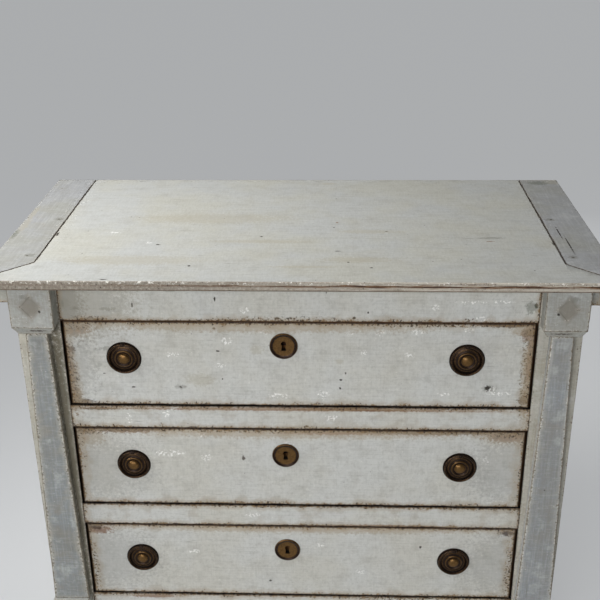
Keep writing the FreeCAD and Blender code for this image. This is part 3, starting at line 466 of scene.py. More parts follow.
CLEAT_MARKS = [on_top(*mark) for mark in (
    ("ink", -482, 25, 2.6, 2.6), ("shade", -482, 25, 9, 9), ("ink", -489, -170, 2.4, 2.4),
    ("shade", -486, -168, 10, 8), ("ink", 487, 28, 2.8, 2.8), ("shade", 484, 28, 10, 8),
    ("ink", 486, -169, 2.6, 2.6), ("shade", 486, -169, 9, 8), ("ink", 487, -44, 1.4, 30),
    ("ink", 493, -110, 1.4, 44), ("tea_stain_and_shade", -543, 60, 6, 40), ("tea_stain_and_shade", -541, -10, 8, 50),
    ("moss", -545, -60, 6, 24), ("tea_stain_and_shade", 540, 270, 24, 16), ("moss", 505, 262, 22, 12))]
FRONT_MARKS = [on_front(*mark) for mark in (
    ("ink", -34, 762, 3.4, 2.6), ("ink", -5, 762, 2.6, 1.8), ("ink", 99, 764, 2.6, 2.6),
    # Painted shadow of the left corner block on the frieze's left end.
    ("ink", 124, 774, 1.8, 2.6), ("shade", -402, 790, 22, 60), ("moss", -412, 790, 12, 14),
    ("ink", -413, 789, 2.2, 7), ("moss", -393, 780, 14, 4), ("ink", -391, 780, 4, 2),
    ("moss", -335, 779, 16, 3), ("ink", -290, 787, 1.6, 6), ("ink", -144, 799, 1.6, 5),
    ("chalk", -93, 777, 8, 7), ("chalk", 239, 786, 8, 6), ("chalk", 306, 795, 26, 3),
    ("chalk", 357, 796, 22, 3), ("ink", 414, 790, 3.4, 5), ("moss", 408, 786, 12, 12),
    ("chalk", 324, 763, 16, 5), ("rust", -372, 757, 28, 3), ("grime", -366, 758, 30, 4),
    ("rust", -152, 755, 18, 4), ("rust", 366, 752, 50, 4), ("grime", 372, 752, 50, 5),
    ("rust", -406, 745, 12, 8), ("grime", -402, 747, 14, 6), ("tea_stain_and_shade", 75, 678, 7, 5),
    ("ink", 86, 654, 2.4, 2.4), ("ink", 77, 640, 2.4, 1.8), ("ink", 76, 623, 2.2, 2.4),
    ("shade", -214, 623, 9, 5), ("ink", -214, 623, 3, 2), ("ink", -143, 697, 3.6, 1.6),
    ("ink", -148, 742, 2.6, 2.2), ("chalk", -224, 690, 14, 6), ("chalk", -127, 717, 11, 8),
    ("chalk", 45, 609, 12, 8), ("chalk", -36, 606, 18, 6), ("chalk", 200, 692, 10, 6),
    ("chalk", 211, 737, 12, 6), ("chalk", 146, 735, 9, 6), ("chalk", 91, 734, 9, 6),
    ("shade", 344, 624, 12, 6), ("chalk", 346, 623, 10, 5), ("chalk", 362, 614, 20, 4),
    ("tea_stain_and_shade", -74, 700, 12, 9), ("tea_stain_and_shade", -178, 638, 26, 12), ("shade", -330, 700, 30, 5),
    ("grime", -410, 699, 11, 6), ("grime", -411, 660, 8, 14), ("grime", -411, 637, 11, 6),
    ("grime", -410, 615, 13, 6), ("grime", -409, 602, 13, 7), ("rust", -412, 640, 6, 70),
    ("grime", -398, 743, 18, 8), ("grime", 392, 527, 30, 7), ("rust", 385, 521, 40, 10),
    ("grime", -398, 527, 18, 6), ("rust", -395, 738, 30, 10), ("rust", 405, 735, 14, 14),
    ("grime", -400, 592, 24, 4), ("rust", 411, 690, 5, 60), ("grime", 409, 738, 12, 8),
    ("grime", 408, 600, 10, 9), ("grime", -404, 528, 14, 7), ("rust", -330, 529, 70, 5),
    ("grime", -320, 531, 70, 5), ("rust", 60, 528, 90, 5), ("grime", 240, 530, 120, 5),
    ("chalk", -314, 552, 5, 14), ("chalk", -245, 568, 7, 9), ("grime", -104, 471, 3, 5),
    ("chalk", -245, 480, 26, 7), ("chalk", -174, 471, 10, 8), ("ink", 15, 542, 3, 2.4),
    ("grime", -366, 576, 40, 3), ("grime", 100, 578, 110, 3), ("rust", 0, 577, 380, 3),
    ("chalk", -262, 480, 10, 5), ("chalk", -228, 481, 12, 5), ("chalk", -140, 668, 10, 5),
    ("chalk", -60, 735, 9, 5), ("chalk", 118, 695, 7, 5), ("chalk", 300, 742, 12, 5),
    ("chalk", 262, 612, 12, 4), ("chalk", 60, 560, 10, 6), ("chalk", -20, 500, 9, 6),
    ("chalk", 350, 470, 8, 8), ("chalk", 320, 452, 7, 4), ("chalk", -180, 520, 8, 6),
    # Painted shadow of the left corner block on the frieze, laid as a grey and a brownish mark.
    ("shade", -405, 794, 32, 70), ("tea_stain_and_shade", -360, 794, 80, 70), ("crumbs", -372, 762, 34, 4),
    ("crumbs", 300, 760, 16, 4),
    ("beige", -395, 738, 34, 16), ("beige", -408, 620, 14, 60), ("beige", 400, 740, 26, 10),
    ("beige", -395, 515, 34, 22), ("beige", 385, 520, 46, 16), ("crumbs", 388, 527, 46, 8),
    ("crumbs", -385, 527, 50, 7), ("crumbs", -410, 650, 9, 70), ("crumbs", -395, 745, 34, 8),
    ("beige", 0, 527, 330, 12), ("beige", -60, 746, 300, 12), ("crumbs", -100, 531, 240, 4),
    ("crumbs", 260, 750, 130, 4), ("crumbs", -30, 758, 120, 7), ("crumbs", 408, 660, 10, 90),
    ("beige", 410, 650, 11, 90), ("ink", 341, 626, 5, 5), ("ink", -137, 640, 1.6, 1.6),
    ("ink", -308, 660, 3, 1.6), ("ink", -300, 622, 4, 1.4), ("ink", -352, 650, 2.6, 1.4),
    # Painted shade: drawer ends and the frieze's left end darker, as the light falls off there.
    ("dull", -385, 450, 95, 75), ("dull", 395, 450, 80, 75), ("dull", -390, 794, 90, 70),
    ("dull", -415, 670, 50, 80), ("dull", -385, 230, 95, 75), ("dull", 395, 230, 80, 75),
    # Painted shade: black on the wood behind each keyhole, for the dark inside the hole.
    ("keyhole_shade", -25, 708, 16, 18), ("keyhole_shade", -25, 478, 16, 18), ("keyhole_shade", -25, 258, 16, 18),
    ("beige", 0, 308, 330, 10), ("rust", -395, 300, 26, 9), ("grime", -400, 307, 16, 7),
    ("grime", 402, 305, 18, 7), ("crumbs", -410, 200, 8, 60), ("crumbs", 410, 210, 8, 60),
    ("chalk", -210, 250, 12, 5), ("chalk", 120, 205, 9, 6), ("chalk", 40, 270, 8, 5),
    ("ink", -60, 180, 2.4, 2.4), ("ink", 235, 268, 2.2, 2.8), ("chalk", 150, 110, 14, 6),
    ("ink", -260, 102, 3, 2), ("rust", -300, 136, 50, 4), ("crumbs", 200, 138, 120, 4),
    ("shade", 0, 91, 330, 7), ("chalk", -90, 340, 14, 5), ("rust", 180, 317, 120, 4))]
print("marks on the top:", len(TOP_MARKS + CLEAT_MARKS), "and on the front:", len(FRONT_MARKS))

# %% The paints that the boards use
COOL_GREY, WARM_GREY = "#c7c7c1", "#c4c2b8"
front_paint = paint("worn_chalky_paint_front", COOL_GREY, WARM_GREY, "x", marks=FRONT_MARKS)
top_paint = paint("worn_chalky_paint_top", "#b9bab5", "#bab9ae", "x", SEAM_ARRIS, 4.0, 0.95, 0.25,
                  TOP_MARKS, True)
cleat_paint = paint("worn_chalky_paint_cleats", "#9fa0a0", "#9d9d96", "y", SEAM_ARRIS, 4.0, 0.95, 0.35,
                    CLEAT_MARKS, True)
cornice_paint = paint("worn_chalky_paint_cornices", "#a5a69f", "#9d998c", "y")
side_paint = paint("worn_chalky_paint_sides", COOL_GREY, WARM_GREY, "z", reach=12.0)
# Painted shade with grime: greenish-brown strips beside the left pilaster, shaded from the left light.
LEFT_POST_SHADE_AND_GRIME = [("olive_shade_and_grime", (-427, FRONT, 450), (26, 9, 430))]
LEFT_PILASTER_SHADE_AND_GRIME = [("olive_shade_and_grime", (x, FRONT - 4, z), (9, 13, high)) for x, z, high in (
    (-438, 640, 130), (-432, 430, 150), (-426, 230, 130))]
BLOCK_FACE = FRONT - 29
BLOCK_MARKS = [(kind, (side * x, BLOCK_FACE, z), (wide, 9, high)) for side in (-1, 1)
               for kind, x, z, wide, high in (("lozenge", 462, 794, 15, 18), ("ink", 446, 786, 2.4, 3),
                                              ("shade", 470, 814, 9, 5), ("grime", 456, 747, 18, 2))]
post_paint = paint("worn_grimy_paint_posts", "#b6b3a8", "#aaa596", "z", CREAM_ARRIS, 8.0, 0.7, 0.5,
                   LEFT_POST_SHADE_AND_GRIME)
block_paint = paint("worn_grey_paint_blocks", "#a2a39e", "#9b9990", "z", CREAM_ARRIS, 7.0, 0.7, 0.5,
                    BLOCK_MARKS)
pilaster_paint = {
    "left": paint("worn_blue_grey_paint_left", "#868b8c", "#7f807c", "z", CREAM_ARRIS, 12.0, 0.85, 0.7,
                  LEFT_PILASTER_SHADE_AND_GRIME),
    "right": paint("worn_blue_grey_paint_right", "#919699", "#8e8f8d", "z", PALE_ARRIS, 10.0, 0.85, 0.6)}
print("paints:", len([material for material in bpy.data.materials if "paint" in material.name]))

# %% [markdown]
# ## Shaping a board
# A planed board that has been handled for generations has no knife-sharp arris. Each board is a copy
# of its solid, merged into one skin, with a small bevel, cut across so that it has points near its
# arrises, and then nibbled inwards there by a little noise. The same points carry the distance to
# the nearest arris, which the paint reads.

# %% Shape a board
ARRIS_ANGLE = math.radians(30)
GRADED_CUTS = (1.6, 3.5, 7, 14, 28)
MERGE_DISTANCE = 0.01
# How far from an arris the wear reaches, and how closely its two noises repeat per metre.
NIBBLE_REACH = 6
BROAD_NIBBLE, FINE_NIBBLE = 55, 190


def pick(piece):
    """Selects one object alone and makes it the active one."""
    bpy.ops.object.select_all(action="DESELECT")
    bpy.context.view_layer.objects.active = piece
    piece.select_set(True)


def shape(step_operator, **settings):
    """Runs one modelling operator on the whole of the piece that is in edit mode."""
    bpy.ops.mesh.select_all(action="SELECT")
    step_operator(**settings)


def copy_of(node, name):
    """A copy of a node as one merged skin, active and selected."""
    piece = bpy.data.objects.new(name, nodes[node].data.copy())
    bpy.context.scene.collection.objects.link(piece)
    piece.data.materials.clear()
    pick(piece)
    bpy.ops.object.mode_set(mode="EDIT")
    shape(bpy.ops.mesh.remove_doubles, threshold=MERGE_DISTANCE * MM)
    bpy.ops.mesh.customdata_custom_splitnormals_clear()
    bpy.ops.mesh.dissolve_limited(angle_limit=math.radians(0.5))
    bpy.ops.object.mode_set(mode="OBJECT")
    return piece


def bevel(piece, width, segments=1):
    """Rounds the arrises of the active piece. Width is in millimetres."""
    rounding = piece.modifiers.new("bevel", "BEVEL")
    rounding.width = width * MM
    rounding.segments = segments
    rounding.limit_method = "ANGLE"
    rounding.angle_limit = ARRIS_ANGLE
    bpy.ops.object.modifier_apply(modifier=rounding.name)


def arrises_of(piece):
    """Start and end of every arris of a piece, as two arrays of points. The slanting outline of the
    sunk lozenge is left out, because nothing rubs there."""
    skin = bmesh.new()
    skin.from_mesh(piece.data)
    sharp = []
    for edge in skin.edges:
        run = (edge.verts[1].co - edge.verts[0].co).normalized()
        slanting = min(abs(run.x), abs(run.z)) >= 0.5
        if edge.is_manifold and edge.calc_face_angle() > ARRIS_ANGLE and not slanting:
            sharp.append(edge)
    starts = np.array([edge.verts[0].co for edge in sharp])
    ends = np.array([edge.verts[1].co for edge in sharp])
    skin.free()
    return starts, ends


def clip_corner(piece, corner, cut):
    """Cuts the upright arris at a corner of a board off at a slant."""
    skin = bmesh.new()
    skin.from_mesh(piece.data)
    upright = [edge for edge in skin.edges
               if all((vertex.co - corner).xy.length < 0.1 * MM for vertex in edge.verts)]
    bmesh.ops.bevel(skin, geom=upright, offset=cut, segments=1, affect="EDGES")
    skin.to_mesh(piece.data)
    skin.free()


def distance_to(points, starts, ends):
    """How far each point lies from the nearest of the lines from starts to ends."""
    nearest = np.full(len(points), 1.0)
    for start, end in zip(starts, ends):
        run = end - start
        share = np.clip((points - start) @ run / max(run @ run, 1e-12), 0, 1)
        nearest = np.minimum(nearest, np.linalg.norm(points - start - share[:, None] * run, axis=1))
    return nearest


def cut_across(piece, axis, spacing):
    """Cuts a piece square to an axis: closely near its two ends, then evenly.

    This is what the bisect tool does. A long board takes a hundred cuts, so they are made on the
    mesh itself, which is many times quicker than a hundred calls of the tool."""
    corners = np.array([corner[:] for corner in piece.bound_box])[:, axis] / MM
    low, high = corners.min(), corners.max()
    near = [step for step in GRADED_CUTS if step < (high - low) / 2]
    count = max(int((high - low) / spacing), 1)
    places = [low + step for step in near] + [high - step for step in near]
    places += [low + (high - low) * i / count for i in range(1, count)]
    direction = Vector((0, 0, 0))
    direction[axis] = 1.0
    skin = bmesh.new()
    skin.from_mesh(piece.data)
    for place in places:
        parts = skin.verts[:] + skin.edges[:] + skin.faces[:]
        bmesh.ops.bisect_plane(skin, geom=parts, dist=1e-6, plane_co=direction * place * MM,
                               plane_no=direction)
    skin.to_mesh(piece.data)
    skin.free()


def nibble(piece, distance, depth, reach):
    """Moves points near the arrises inwards by a ragged amount. All normals are read first."""
    normals = [vertex.normal.copy() for vertex in piece.data.vertices]
    for vertex, normal, away in zip(piece.data.vertices, normals, distance):
        if away < reach:
            rough = noise.noise(vertex.co * BROAD_NIBBLE) + 0.6 * noise.noise(vertex.co * FINE_NIBBLE)
            vertex.co -= normal * max(rough, 0) * depth * (1 - away / reach) ** 2


def dress(node, material, grain="x", round_off=1.0, spacing=(12, 45, 45), depth=1.0, clip=0):
    """A worn board in the place of a node. Clip is how much its right back corner has lost."""
    piece = copy_of(node, f"{node}_worn")
    if clip:
        clip_corner(piece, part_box(node)[1], clip * MM)
    starts, ends = arrises_of(piece)
    bevel(piece, round_off, 2)
    order = [AXES[grain]] + [axis for axis in range(3) if axis != AXES[grain]]
    for axis, step in zip(order, spacing):
        cut_across(piece, axis, step)
    points = np.array([vertex.co[:] for vertex in piece.data.vertices])
    distance = distance_to(points, starts, ends)
    nibble(piece, distance, depth * MM, NIBBLE_REACH * MM)
    piece.data.attributes.new("edge", "FLOAT", "POINT").data.foreach_set("value", distance)
    bpy.ops.object.shade_smooth_by_angle(angle=ARRIS_ANGLE)
    piece.data.materials.append(material)
    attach(piece, body_of(nodes[node])[0])
    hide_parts(node)
    return piece


# %% [markdown]
# ## The painted boards
# Which way a board runs decides which way its brush strokes and its wear run: the top, the rails and
# the drawer fronts lie along the width, the cleats and cornices run from front to back, and the
# posts, pilasters and sides stand upright.

# %% Painted boards of the case
LONG_BOARDS = ["base_rail", "divider_rail_lower", "divider_rail_upper", "frieze_rail"]
SMALL_BLOCKS = ["corner_block", "plinth_block"]
CORNER_LOST = 14
made = [dress("top_board", top_paint, depth=1.2)]
for node in LONG_BOARDS:
    made.append(dress(node, front_paint))
for hand in HANDS:
    made.append(dress(f"top_cleat_{hand}", cleat_paint, "y", depth=1.2,
                      clip=CORNER_LOST if hand == "right" else 0))
    made.append(dress(f"side_cornice_{hand}", cornice_paint, "y", spacing=(12, 6, 6)))
    made.append(dress(f"pilaster_{hand}", pilaster_paint[hand], "z", 1.4, (12, 4, 6)))
    made.append(dress(f"side_board_{hand}", side_paint, "z"))
    made.append(dress(f"corner_post_{hand}", post_paint, "z"))
    for piece in SMALL_BLOCKS:
        made.append(dress(f"{piece}_{hand}", block_paint, "z", 1.2, (5, 5, 5)))
    made.append(dress(f"foot_front_{hand}", side_paint, "z", 1.2, (10, 6, 6)))
made.append(dress("rear_feet", side_paint, "z", 1.2, (10, 30, 6)))
for level in LEVELS:
    made.append(dress(f"{level}_drawer_front", front_paint, depth=1.2))
print("painted boards:", len(made), "faces:", sum(len(piece.data.polygons) for piece in made))

# %% [markdown]
# ## Bare pine
# The drawer sides, bottoms and backs, the runners and the back boards never saw paint. Old pine goes
# a warm honey brown. Its growth lines are long and wavy, its fibres fine, and dust has dulled it in
# broad patches.

# %% Bare pine material
def bare_pine(name, grain):
    """Planed pine, browned with age. Grain is the axis that the board runs along."""
    material, tree = new_material(name)
    mm, fibre = ground(tree, grain)
    lines = calculate(tree, "MULTIPLY", cloud(tree, fibre, 40, 2.0, 0.5), 26.0)
    lines = calculate(tree, "FRACT", lines)
    fibres = cloud(tree, fibre, 2, 3.0, 0.5)
    dust = ramp(tree, cloud(tree, mm, 90, 3.0, 0.5), 0.45, 0.7, 0.0, 0.45)
    edge = distance_from_arris(tree)
    colour = tint(tree, linear("#aa8a62"), lines, "#8a6642")
    colour = tint(tree, colour, ramp(tree, fibres, 0.4, 0.75, 0.0, 0.5), "#6c4f33")
    colour = tint(tree, colour, dust, "#8b7658")
    colour = tint(tree, colour, ramp(tree, edge, 0.004, 0.0, 0.0, 0.6), "#5a4028")
    surface(tree, colour, 0.72, fibres, 0.3, 0.4, {"Specular IOR Level": 0.3})
    return material


pine_along = {axis: bare_pine(f"aged_pine_{axis}", axis) for axis in ("x", "y")}

# %% Bare boards
def dress_bare(node, grain, round_off=1.0, spacing=(30, 60, 60), depth=0.4):
    return dress(node, pine_along[grain], grain, round_off, spacing, depth)


bare = [dress_bare("bottom_board", "x", spacing=(60, 60, 60)),
        dress_bare("back_boards", "x", spacing=(40, 60, 60), depth=0.8)]
for level in LEVELS:
    drawer = f"{level}_drawer"
    bare.append(dress_bare(f"{drawer}_slides", "y", 0.8))
    for part, grain in (("side_left", "y"), ("side_right", "y"), ("back", "x"), ("bottom", "x")):
        bare.append(dress_bare(f"{drawer}_{part}", grain, 0.6))
print("bare boards:", len(bare), "faces:", sum(len(piece.data.polygons) for piece in bare))

# %% [markdown]
# ## Brass and iron
# The pulls and keyhole plates are stamped sheet brass. Two centuries of touch left a dark brown
# patina in every hollow and rubbed the high places back towards gold. Each brass carries an
# attribute named rub, which is 0 in the hollows and highest on the boss, and the colour follows it.
# The locks are wrought iron, hammered, black and a little rusty.

# %% Brass and iron materials
MOTTLE_SIZE, HAMMER_SIZE = 1 / 0.35, 1 / 0.12


def brass():
    """Stamped brass with a brown patina, rubbed bright where the rub attribute is high."""
    material, tree = new_material("patinated_stamped_brass")
    mottle = cloud(tree, ground(tree, "x")[0], MOTTLE_SIZE, 4.0, 0.65)
    rub = add(tree, "Attribute", {}, attribute_name="rub")["Fac"]
    rub = calculate(tree, "ADD", rub, mottle)
    gold = ramp(tree, rub, 0.7, 1.5)
    colour = tint(tree, linear("#1a110c"), ramp(tree, mottle, 0.35, 0.65), "#36261b")
    colour = tint(tree, colour, gold, "#7c5e38")
    surface(tree, colour, ramp(tree, rub, 0.4, 1.4, 0.38, 0.42), mottle, 0.25, 0.4,
            {"Metallic": ramp(tree, gold, 0, 1, 0.75, 1.0)})
    return material


def iron():
    """Wrought iron, black with a bloom of rust."""
    material, tree = new_material("wrought_iron")
    hammer = cloud(tree, ground(tree, "x")[0], HAMMER_SIZE, 4.0, 0.5)
    rust = ramp(tree, hammer, 0.5, 0.68, 0.0, 0.7)
    colour = tint(tree, linear("#2b2927"), rust, "#5c3a24")
    surface(tree, colour, ramp(tree, rust, 0, 1, 0.45, 0.8), hammer, 0.5, 0.6, {"Metallic": 0.8})
    return material


old_brass = brass()
old_iron = iron()
for level in LEVELS:
    for part in ("lock_case", "lock_bolt"):
        dress(f"{level}_{part}", old_iron, "x", 0.5, (20, 20, 20), 0.2)

# %% [markdown]
# ## Ring pulls
# Each pull is a round stamped plate: a rolled rim, a hollow, a sloping step with a string of small
# beads, a thick bead and a domed boss. On the real thing the shape is pressed into sheet brass over
# a die, which makes it a turned shape. It is turned here too: a flat cylinder, whose front face is
# inset and pushed again and again along the profile. The ring hangs from a lug at the top and lies
# on the plate.

# %% Tools for turned shapes
TURNED_SIDES = 72
ALONG_X, ALONG_Y = (0, math.pi / 2, 0), (math.pi / 2, 0, 0)


def start_piece(name):
    """Names the primitive that was just added and goes into edit mode on it alone."""
    piece = bpy.context.object
    piece.name = name
    bpy.ops.object.mode_set(mode="EDIT")
    return piece


def select_front(piece):
    """Selects the faces that look straight forward and lie furthest forward."""
    bpy.ops.mesh.select_mode(type="FACE")
    bpy.ops.mesh.select_all(action="DESELECT")
    skin = bmesh.from_edit_mesh(piece.data)
    front = min(face.calc_center_median().y for face in skin.faces)
    for face in skin.faces:
        furthest = face.calc_center_median().y < front + MERGE_DISTANCE * MM
        face.select = face.normal.y < -0.99 and furthest
    bmesh.update_edit_mesh(piece.data)


def turned(name, profile):
    """A disc turned about the front-to-back axis. Profile lists radius and height in millimetres."""
    radius, height = profile[0]
    bpy.ops.object.select_all(action="DESELECT")
    bpy.ops.mesh.primitive_cylinder_add(vertices=TURNED_SIDES, radius=radius * MM, depth=height * MM,
                                        location=(0, 0, 0), rotation=ALONG_Y)
    bpy.ops.object.transform_apply()
    piece = start_piece(name)
    shape(bpy.ops.transform.translate, value=(0, -height / 2 * MM, 0))
    select_front(piece)
    for next_radius, next_height in profile[1:]:
        if next_radius < radius:
            bpy.ops.mesh.inset(thickness=(radius - next_radius) * MM)
            bpy.ops.transform.translate(value=(0, (height - next_height) * MM, 0))
        else:
            bpy.ops.mesh.extrude_region_move(
                TRANSFORM_OT_translate={"value": (0, (height - next_height) * MM, 0)})
        radius, height = next_radius, next_height
    bpy.ops.object.mode_set(mode="OBJECT")
    return piece


# %% Profile of the plate
PLATE_PROFILE = (
    (31.7, 0.5), (32.0, 0.9), (31.8, 1.4), (31.2, 1.6), (30.5, 1.4), (30.0, 1.0), (28.8, 0.8),
    (25.0, 0.8), (24.1, 1.2), (22.4, 1.9), (21.1, 2.4), (19.9, 2.7), (18.4, 3.2), (17.3, 3.6),
    (16.9, 4.6), (16.2, 5.5), (15.2, 5.9), (14.1, 5.6), (13.4, 4.8), (12.7, 4.2), (11.6, 4.0),
    (10.5, 4.1), (10.2, 5.4), (9.1, 6.8), (7.2, 7.9), (4.9, 8.6), (2.4, 8.9), (1.0, 8.95))
BOSS_RADIUS, THICK_BEAD = 10.6, 15.2
BEADS = 64
BEAD_RING = 21.1
BEAD_SIZE = 0.95
BEAD_HEIGHT = 2.4
LUG_WIDTH = 8
LUG_RADIUS = 2.9
LUG_RISE = 27.465
RING_HEIGHT = 4.1
STUD_LENGTH = 28
STUD_RADIUS = 2.5
NUT_WIDTH, NUT_THICKNESS = 12, 4
FRONT_THICKNESS = 22


def copy_to(model, name, place):
    """A copy of a finished model with its own mesh, moved to a place."""
    piece = bpy.data.objects.new(name, model.data.copy())
    bpy.context.scene.collection.objects.link(piece)
    piece.data.transform(Matrix.Translation(place))
    return piece


def add_beads(name):
    """A string of small beads round the plate: one bead, pressed a little flat, and its copies."""
    bpy.ops.object.select_all(action="DESELECT")
    bpy.ops.mesh.primitive_uv_sphere_add(segments=8, ring_count=5, radius=BEAD_SIZE * MM,
                                         location=(0, 0, 0))
    first = start_piece(f"{name}_bead")
    shape(bpy.ops.transform.resize, value=(1, 0.8, 1))
    bpy.ops.object.mode_set(mode="OBJECT")
    beads = []
    for index in range(BEADS):
        angle = math.tau * index / BEADS
        place = Vector((math.cos(angle) * BEAD_RING, -BEAD_HEIGHT, math.sin(angle) * BEAD_RING)) * MM
        beads.append(copy_to(first, f"{name}_bead_{index}", place))
    bpy.data.objects.remove(first)
    return beads


def add_lug(name):
    """The lug that the ring hangs from: a flat neck with a round nose."""
    bpy.ops.mesh.primitive_cube_add(size=1, location=(0, -RING_HEIGHT / 2 * MM, LUG_RISE * MM))
    lug = start_piece(f"{name}_lug")
    shape(bpy.ops.transform.resize, value=(LUG_WIDTH * MM, RING_HEIGHT * MM, LUG_RADIUS * 2 * MM))
    select_front(lug)
    bpy.ops.mesh.extrude_region_move(TRANSFORM_OT_translate={"value": (0, -LUG_RADIUS * MM, 0)})
    bpy.ops.object.mode_set(mode="OBJECT")
    bevel(lug, 2.0, 5)
    return lug


def add_stud(name):
    """The stud through the drawer front and the square nut that holds it."""
    bpy.ops.mesh.primitive_cylinder_add(vertices=20, radius=STUD_RADIUS * MM, depth=STUD_LENGTH * MM,
                                        location=(0, STUD_LENGTH / 2 * MM, 0), rotation=ALONG_Y)
    stud = bpy.context.object
    bevel(stud, 0.6)
    middle = FRONT_THICKNESS + NUT_THICKNESS / 2
    bpy.ops.mesh.primitive_cube_add(size=1, location=(0, middle * MM, 0))
    nut = start_piece(f"{name}_nut")
    shape(bpy.ops.transform.resize, value=(NUT_WIDTH * MM, NUT_THICKNESS * MM, NUT_WIDTH * MM))
    bpy.ops.object.mode_set(mode="OBJECT")
    bevel(nut, 1.0, 2)
    return [stud, nut]


def join(name, pieces):
    """Joins pieces into one object at the origin, with its place in its mesh."""
    bpy.ops.object.select_all(action="DESELECT")
    for piece in pieces:
        piece.select_set(True)
    bpy.context.view_layer.objects.active = pieces[0]
    if len(pieces) > 1:
        bpy.ops.object.join()
    whole = bpy.context.object
    whole.name = name
    bpy.ops.object.transform_apply()
    bpy.ops.object.shade_smooth_by_angle(angle=math.radians(40))
    return whole


def set_rub(piece, rub):
    """Stores how much each point of a brass is rubbed, by its distance from the middle."""
    values = [rub(math.hypot(vertex.co.x, vertex.co.z) / MM) for vertex in piece.data.vertices]
    piece.data.attributes.new("rub", "FLOAT", "POINT").data.foreach_set("value", values)
    piece.data.materials.clear()
    piece.data.materials.append(old_brass)


def place_brass(model, name, body, centre, node):
    """Puts a copy of a brass at its place, in the stead of its node."""
    piece = copy_to(model, name, centre)
    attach(piece, body)
    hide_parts(node)


# %% The rings
RING_RADIUS = 27.8
RING_WIRE = 1.9
RING_GAP = 4.3
RING_STEPS = 84
PIN_RADIUS, PIN_FROM_MIDDLE = 1.2, 0.5


def add_ring(name):
    """An open ring: a round wire section spun about the plate's middle, with two pins inwards."""
    y = -RING_HEIGHT * MM
    open_angle = math.asin(RING_GAP / RING_RADIUS)
    bpy.ops.object.select_all(action="DESELECT")
    bpy.ops.mesh.primitive_circle_add(vertices=14, radius=RING_WIRE * MM, fill_type="NGON",
                                      location=(0, y, RING_RADIUS * MM), rotation=ALONG_X)
    bpy.ops.object.transform_apply()
    ring = start_piece(f"{name}_hoop")
    shape(bpy.ops.transform.rotate, value=open_angle, orient_axis="Y", center_override=(0, y, 0))
    bpy.ops.mesh.spin(steps=RING_STEPS, angle=math.tau - 2 * open_angle, center=(0, y, 0), axis=(0, 1, 0))
    shape(bpy.ops.mesh.remove_doubles, threshold=MERGE_DISTANCE * MM)
    bpy.ops.mesh.normals_make_consistent(inside=False)
    bpy.ops.object.mode_set(mode="OBJECT")
    print(name, "reaches", [round(side / MM, 1) for side in ring.dimensions])
    pins = []
    pin_length = RING_GAP + RING_WIRE - PIN_FROM_MIDDLE
    for side in (-1, 1):
        middle = side * (PIN_FROM_MIDDLE + pin_length / 2) * MM
        bpy.ops.mesh.primitive_cylinder_add(vertices=16, radius=PIN_RADIUS * MM, depth=pin_length * MM,
                                            location=(middle, y, LUG_RISE * MM), rotation=ALONG_X)
        pins.append(bpy.context.object)
    return join(name, [ring] + pins)


# %% Put a pull at each place
def middle_of(node):
    """The middle of a node's box."""
    low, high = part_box(node)
    return (low + high) / 2


def plate_rub(out):
    """How much the plate is rubbed, by distance from its middle: most on the boss, then the beads."""
    if out < BOSS_RADIUS:
        return 0.8
    if abs(out - THICK_BEAD) < 1.4:
        return 0.6
    return 0.45 if abs(out - BEAD_RING) < 1.2 else 0.0


parts = [turned("pull_disc", PLATE_PROFILE), add_lug("pull")]
parts += add_stud("pull") + add_beads("pull")
plate_model = join("pull_plate", parts)
set_rub(plate_model, plate_rub)
ring_model = add_ring("pull_ring")
set_rub(ring_model, lambda out: 0.3)
for level in LEVELS:
    for hand in HANDS:
        ring = f"{level}_ring_{hand}"
        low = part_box(ring)[0]
        centre = Vector((middle_of(ring).x, FRONT * MM, low.z + (RING_RADIUS + RING_WIRE) * MM))
        place_brass(plate_model, f"{level}_pull_{hand}_plate", f"{level}_drawer", centre,
                    f"{level}_handle_plates")
        place_brass(ring_model, f"{level}_pull_{hand}_ring", ring, centre, ring)
bpy.data.objects.remove(plate_model)
bpy.data.objects.remove(ring_model)
print("ring pulls:", len(LEVELS) * len(HANDS))

# %% [markdown]
# ## Keyhole plates
# The keyhole plate is the same kind of stamping: a rolled rim round a shallow dish. The keyhole is a
# round hole with a foot that widens downwards. It is cut with a boolean, because the hole crosses
# the rings of the turned dish.

# %% Keyhole plates
ESCUTCHEON_PROFILE = (
    (25.2, 0.6), (25.5, 1.4), (25.2, 2.4), (24.4, 3.1), (23.5, 3.3), (22.6, 3.0), (22.0, 2.3),
    (21.3, 1.6), (18.5, 1.2), (14.0, 1.0), (9.5, 1.1), (5.0, 1.4), (2.0, 1.6), (0.8, 1.6))
DISH_RADIUS, RIM_RADIUS = 19, 23.2
KEYHOLE_RADIUS = 4.8
KEYHOLE_RISE = 4.5
KEYHOLE_FOOT = 9.5
KEYHOLE_WIDTH, KEYHOLE_FLARE = 5.5, 1.6
CUTTER_DEPTH = 8


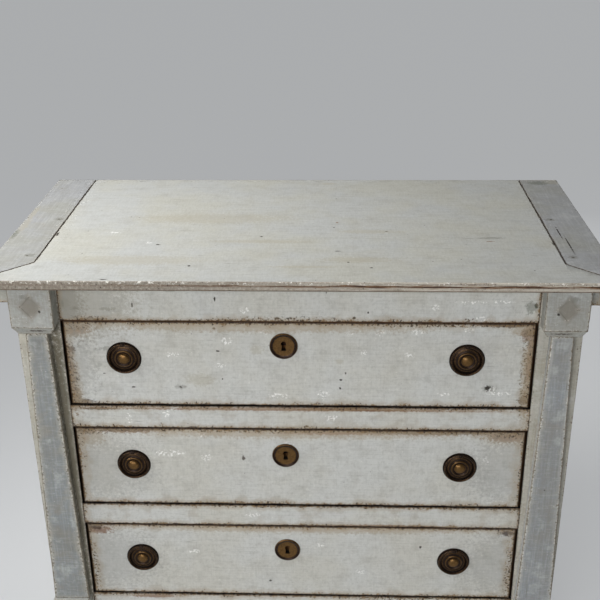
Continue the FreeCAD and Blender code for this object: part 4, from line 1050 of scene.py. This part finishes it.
def cut_keyhole(plate):
    """Cuts a round hole and a flared foot through a plate."""
    bpy.ops.mesh.primitive_cylinder_add(vertices=32, radius=KEYHOLE_RADIUS * MM, depth=CUTTER_DEPTH * MM,
                                        location=(0, 0, KEYHOLE_RISE * MM), rotation=ALONG_Y)
    hole = bpy.context.object
    middle = (KEYHOLE_RISE - KEYHOLE_FOOT) / 2
    bpy.ops.mesh.primitive_cube_add(size=1, location=(0, 0, middle * MM))
    foot = start_piece("keyhole_foot")
    height = KEYHOLE_RISE + KEYHOLE_FOOT
    shape(bpy.ops.transform.resize, value=(KEYHOLE_WIDTH * MM, CUTTER_DEPTH * MM * 1.1, height * MM))
    bpy.ops.mesh.select_all(action="DESELECT")
    skin = bmesh.from_edit_mesh(foot.data)
    for face in skin.faces:
        face.select = face.normal.z < -0.5
    bmesh.update_edit_mesh(foot.data)
    bpy.ops.transform.resize(value=(KEYHOLE_FLARE, 1, 1))
    bpy.ops.object.mode_set(mode="OBJECT")
    for cutter in (hole, foot):
        cut = plate.modifiers.new("keyhole", "BOOLEAN")
        cut.object = cutter
        cut.operation = "DIFFERENCE"
        pick(plate)
        bpy.ops.object.modifier_apply(modifier=cut.name)
        bpy.data.objects.remove(cutter)


def dish_rub(out):
    """The dish shines dully, so does the rim, and the step between them is dark."""
    if out < DISH_RADIUS:
        return 0.75
    return 0.55 if out > RIM_RADIUS else 0.0


plate_model = turned("keyhole_disc", ESCUTCHEON_PROFILE)
cut_keyhole(plate_model)
plate_model = join("keyhole_plate", [plate_model])
set_rub(plate_model, dish_rub)
for level in LEVELS:
    middle = middle_of(f"{level}_escutcheon")
    place_brass(plate_model, f"{level}_keyhole_plate", f"{level}_drawer",
                Vector((middle.x, FRONT * MM, middle.z)), f"{level}_escutcheon")
bpy.data.objects.remove(plate_model)
print("keyhole plates:", len(LEVELS))

# %% [markdown]
# ## Last checks
# The dressed commode has to keep the size of its construction. The last line prints how much the
# looks add to the construction's box, in millimetres.

# %% Compare sizes and finish
low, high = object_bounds()
growth = [round((a - b) / MM, 2) for a, b in zip(high - low, cad_high - cad_low)]
print("the looks add, in millimetres:", growth)
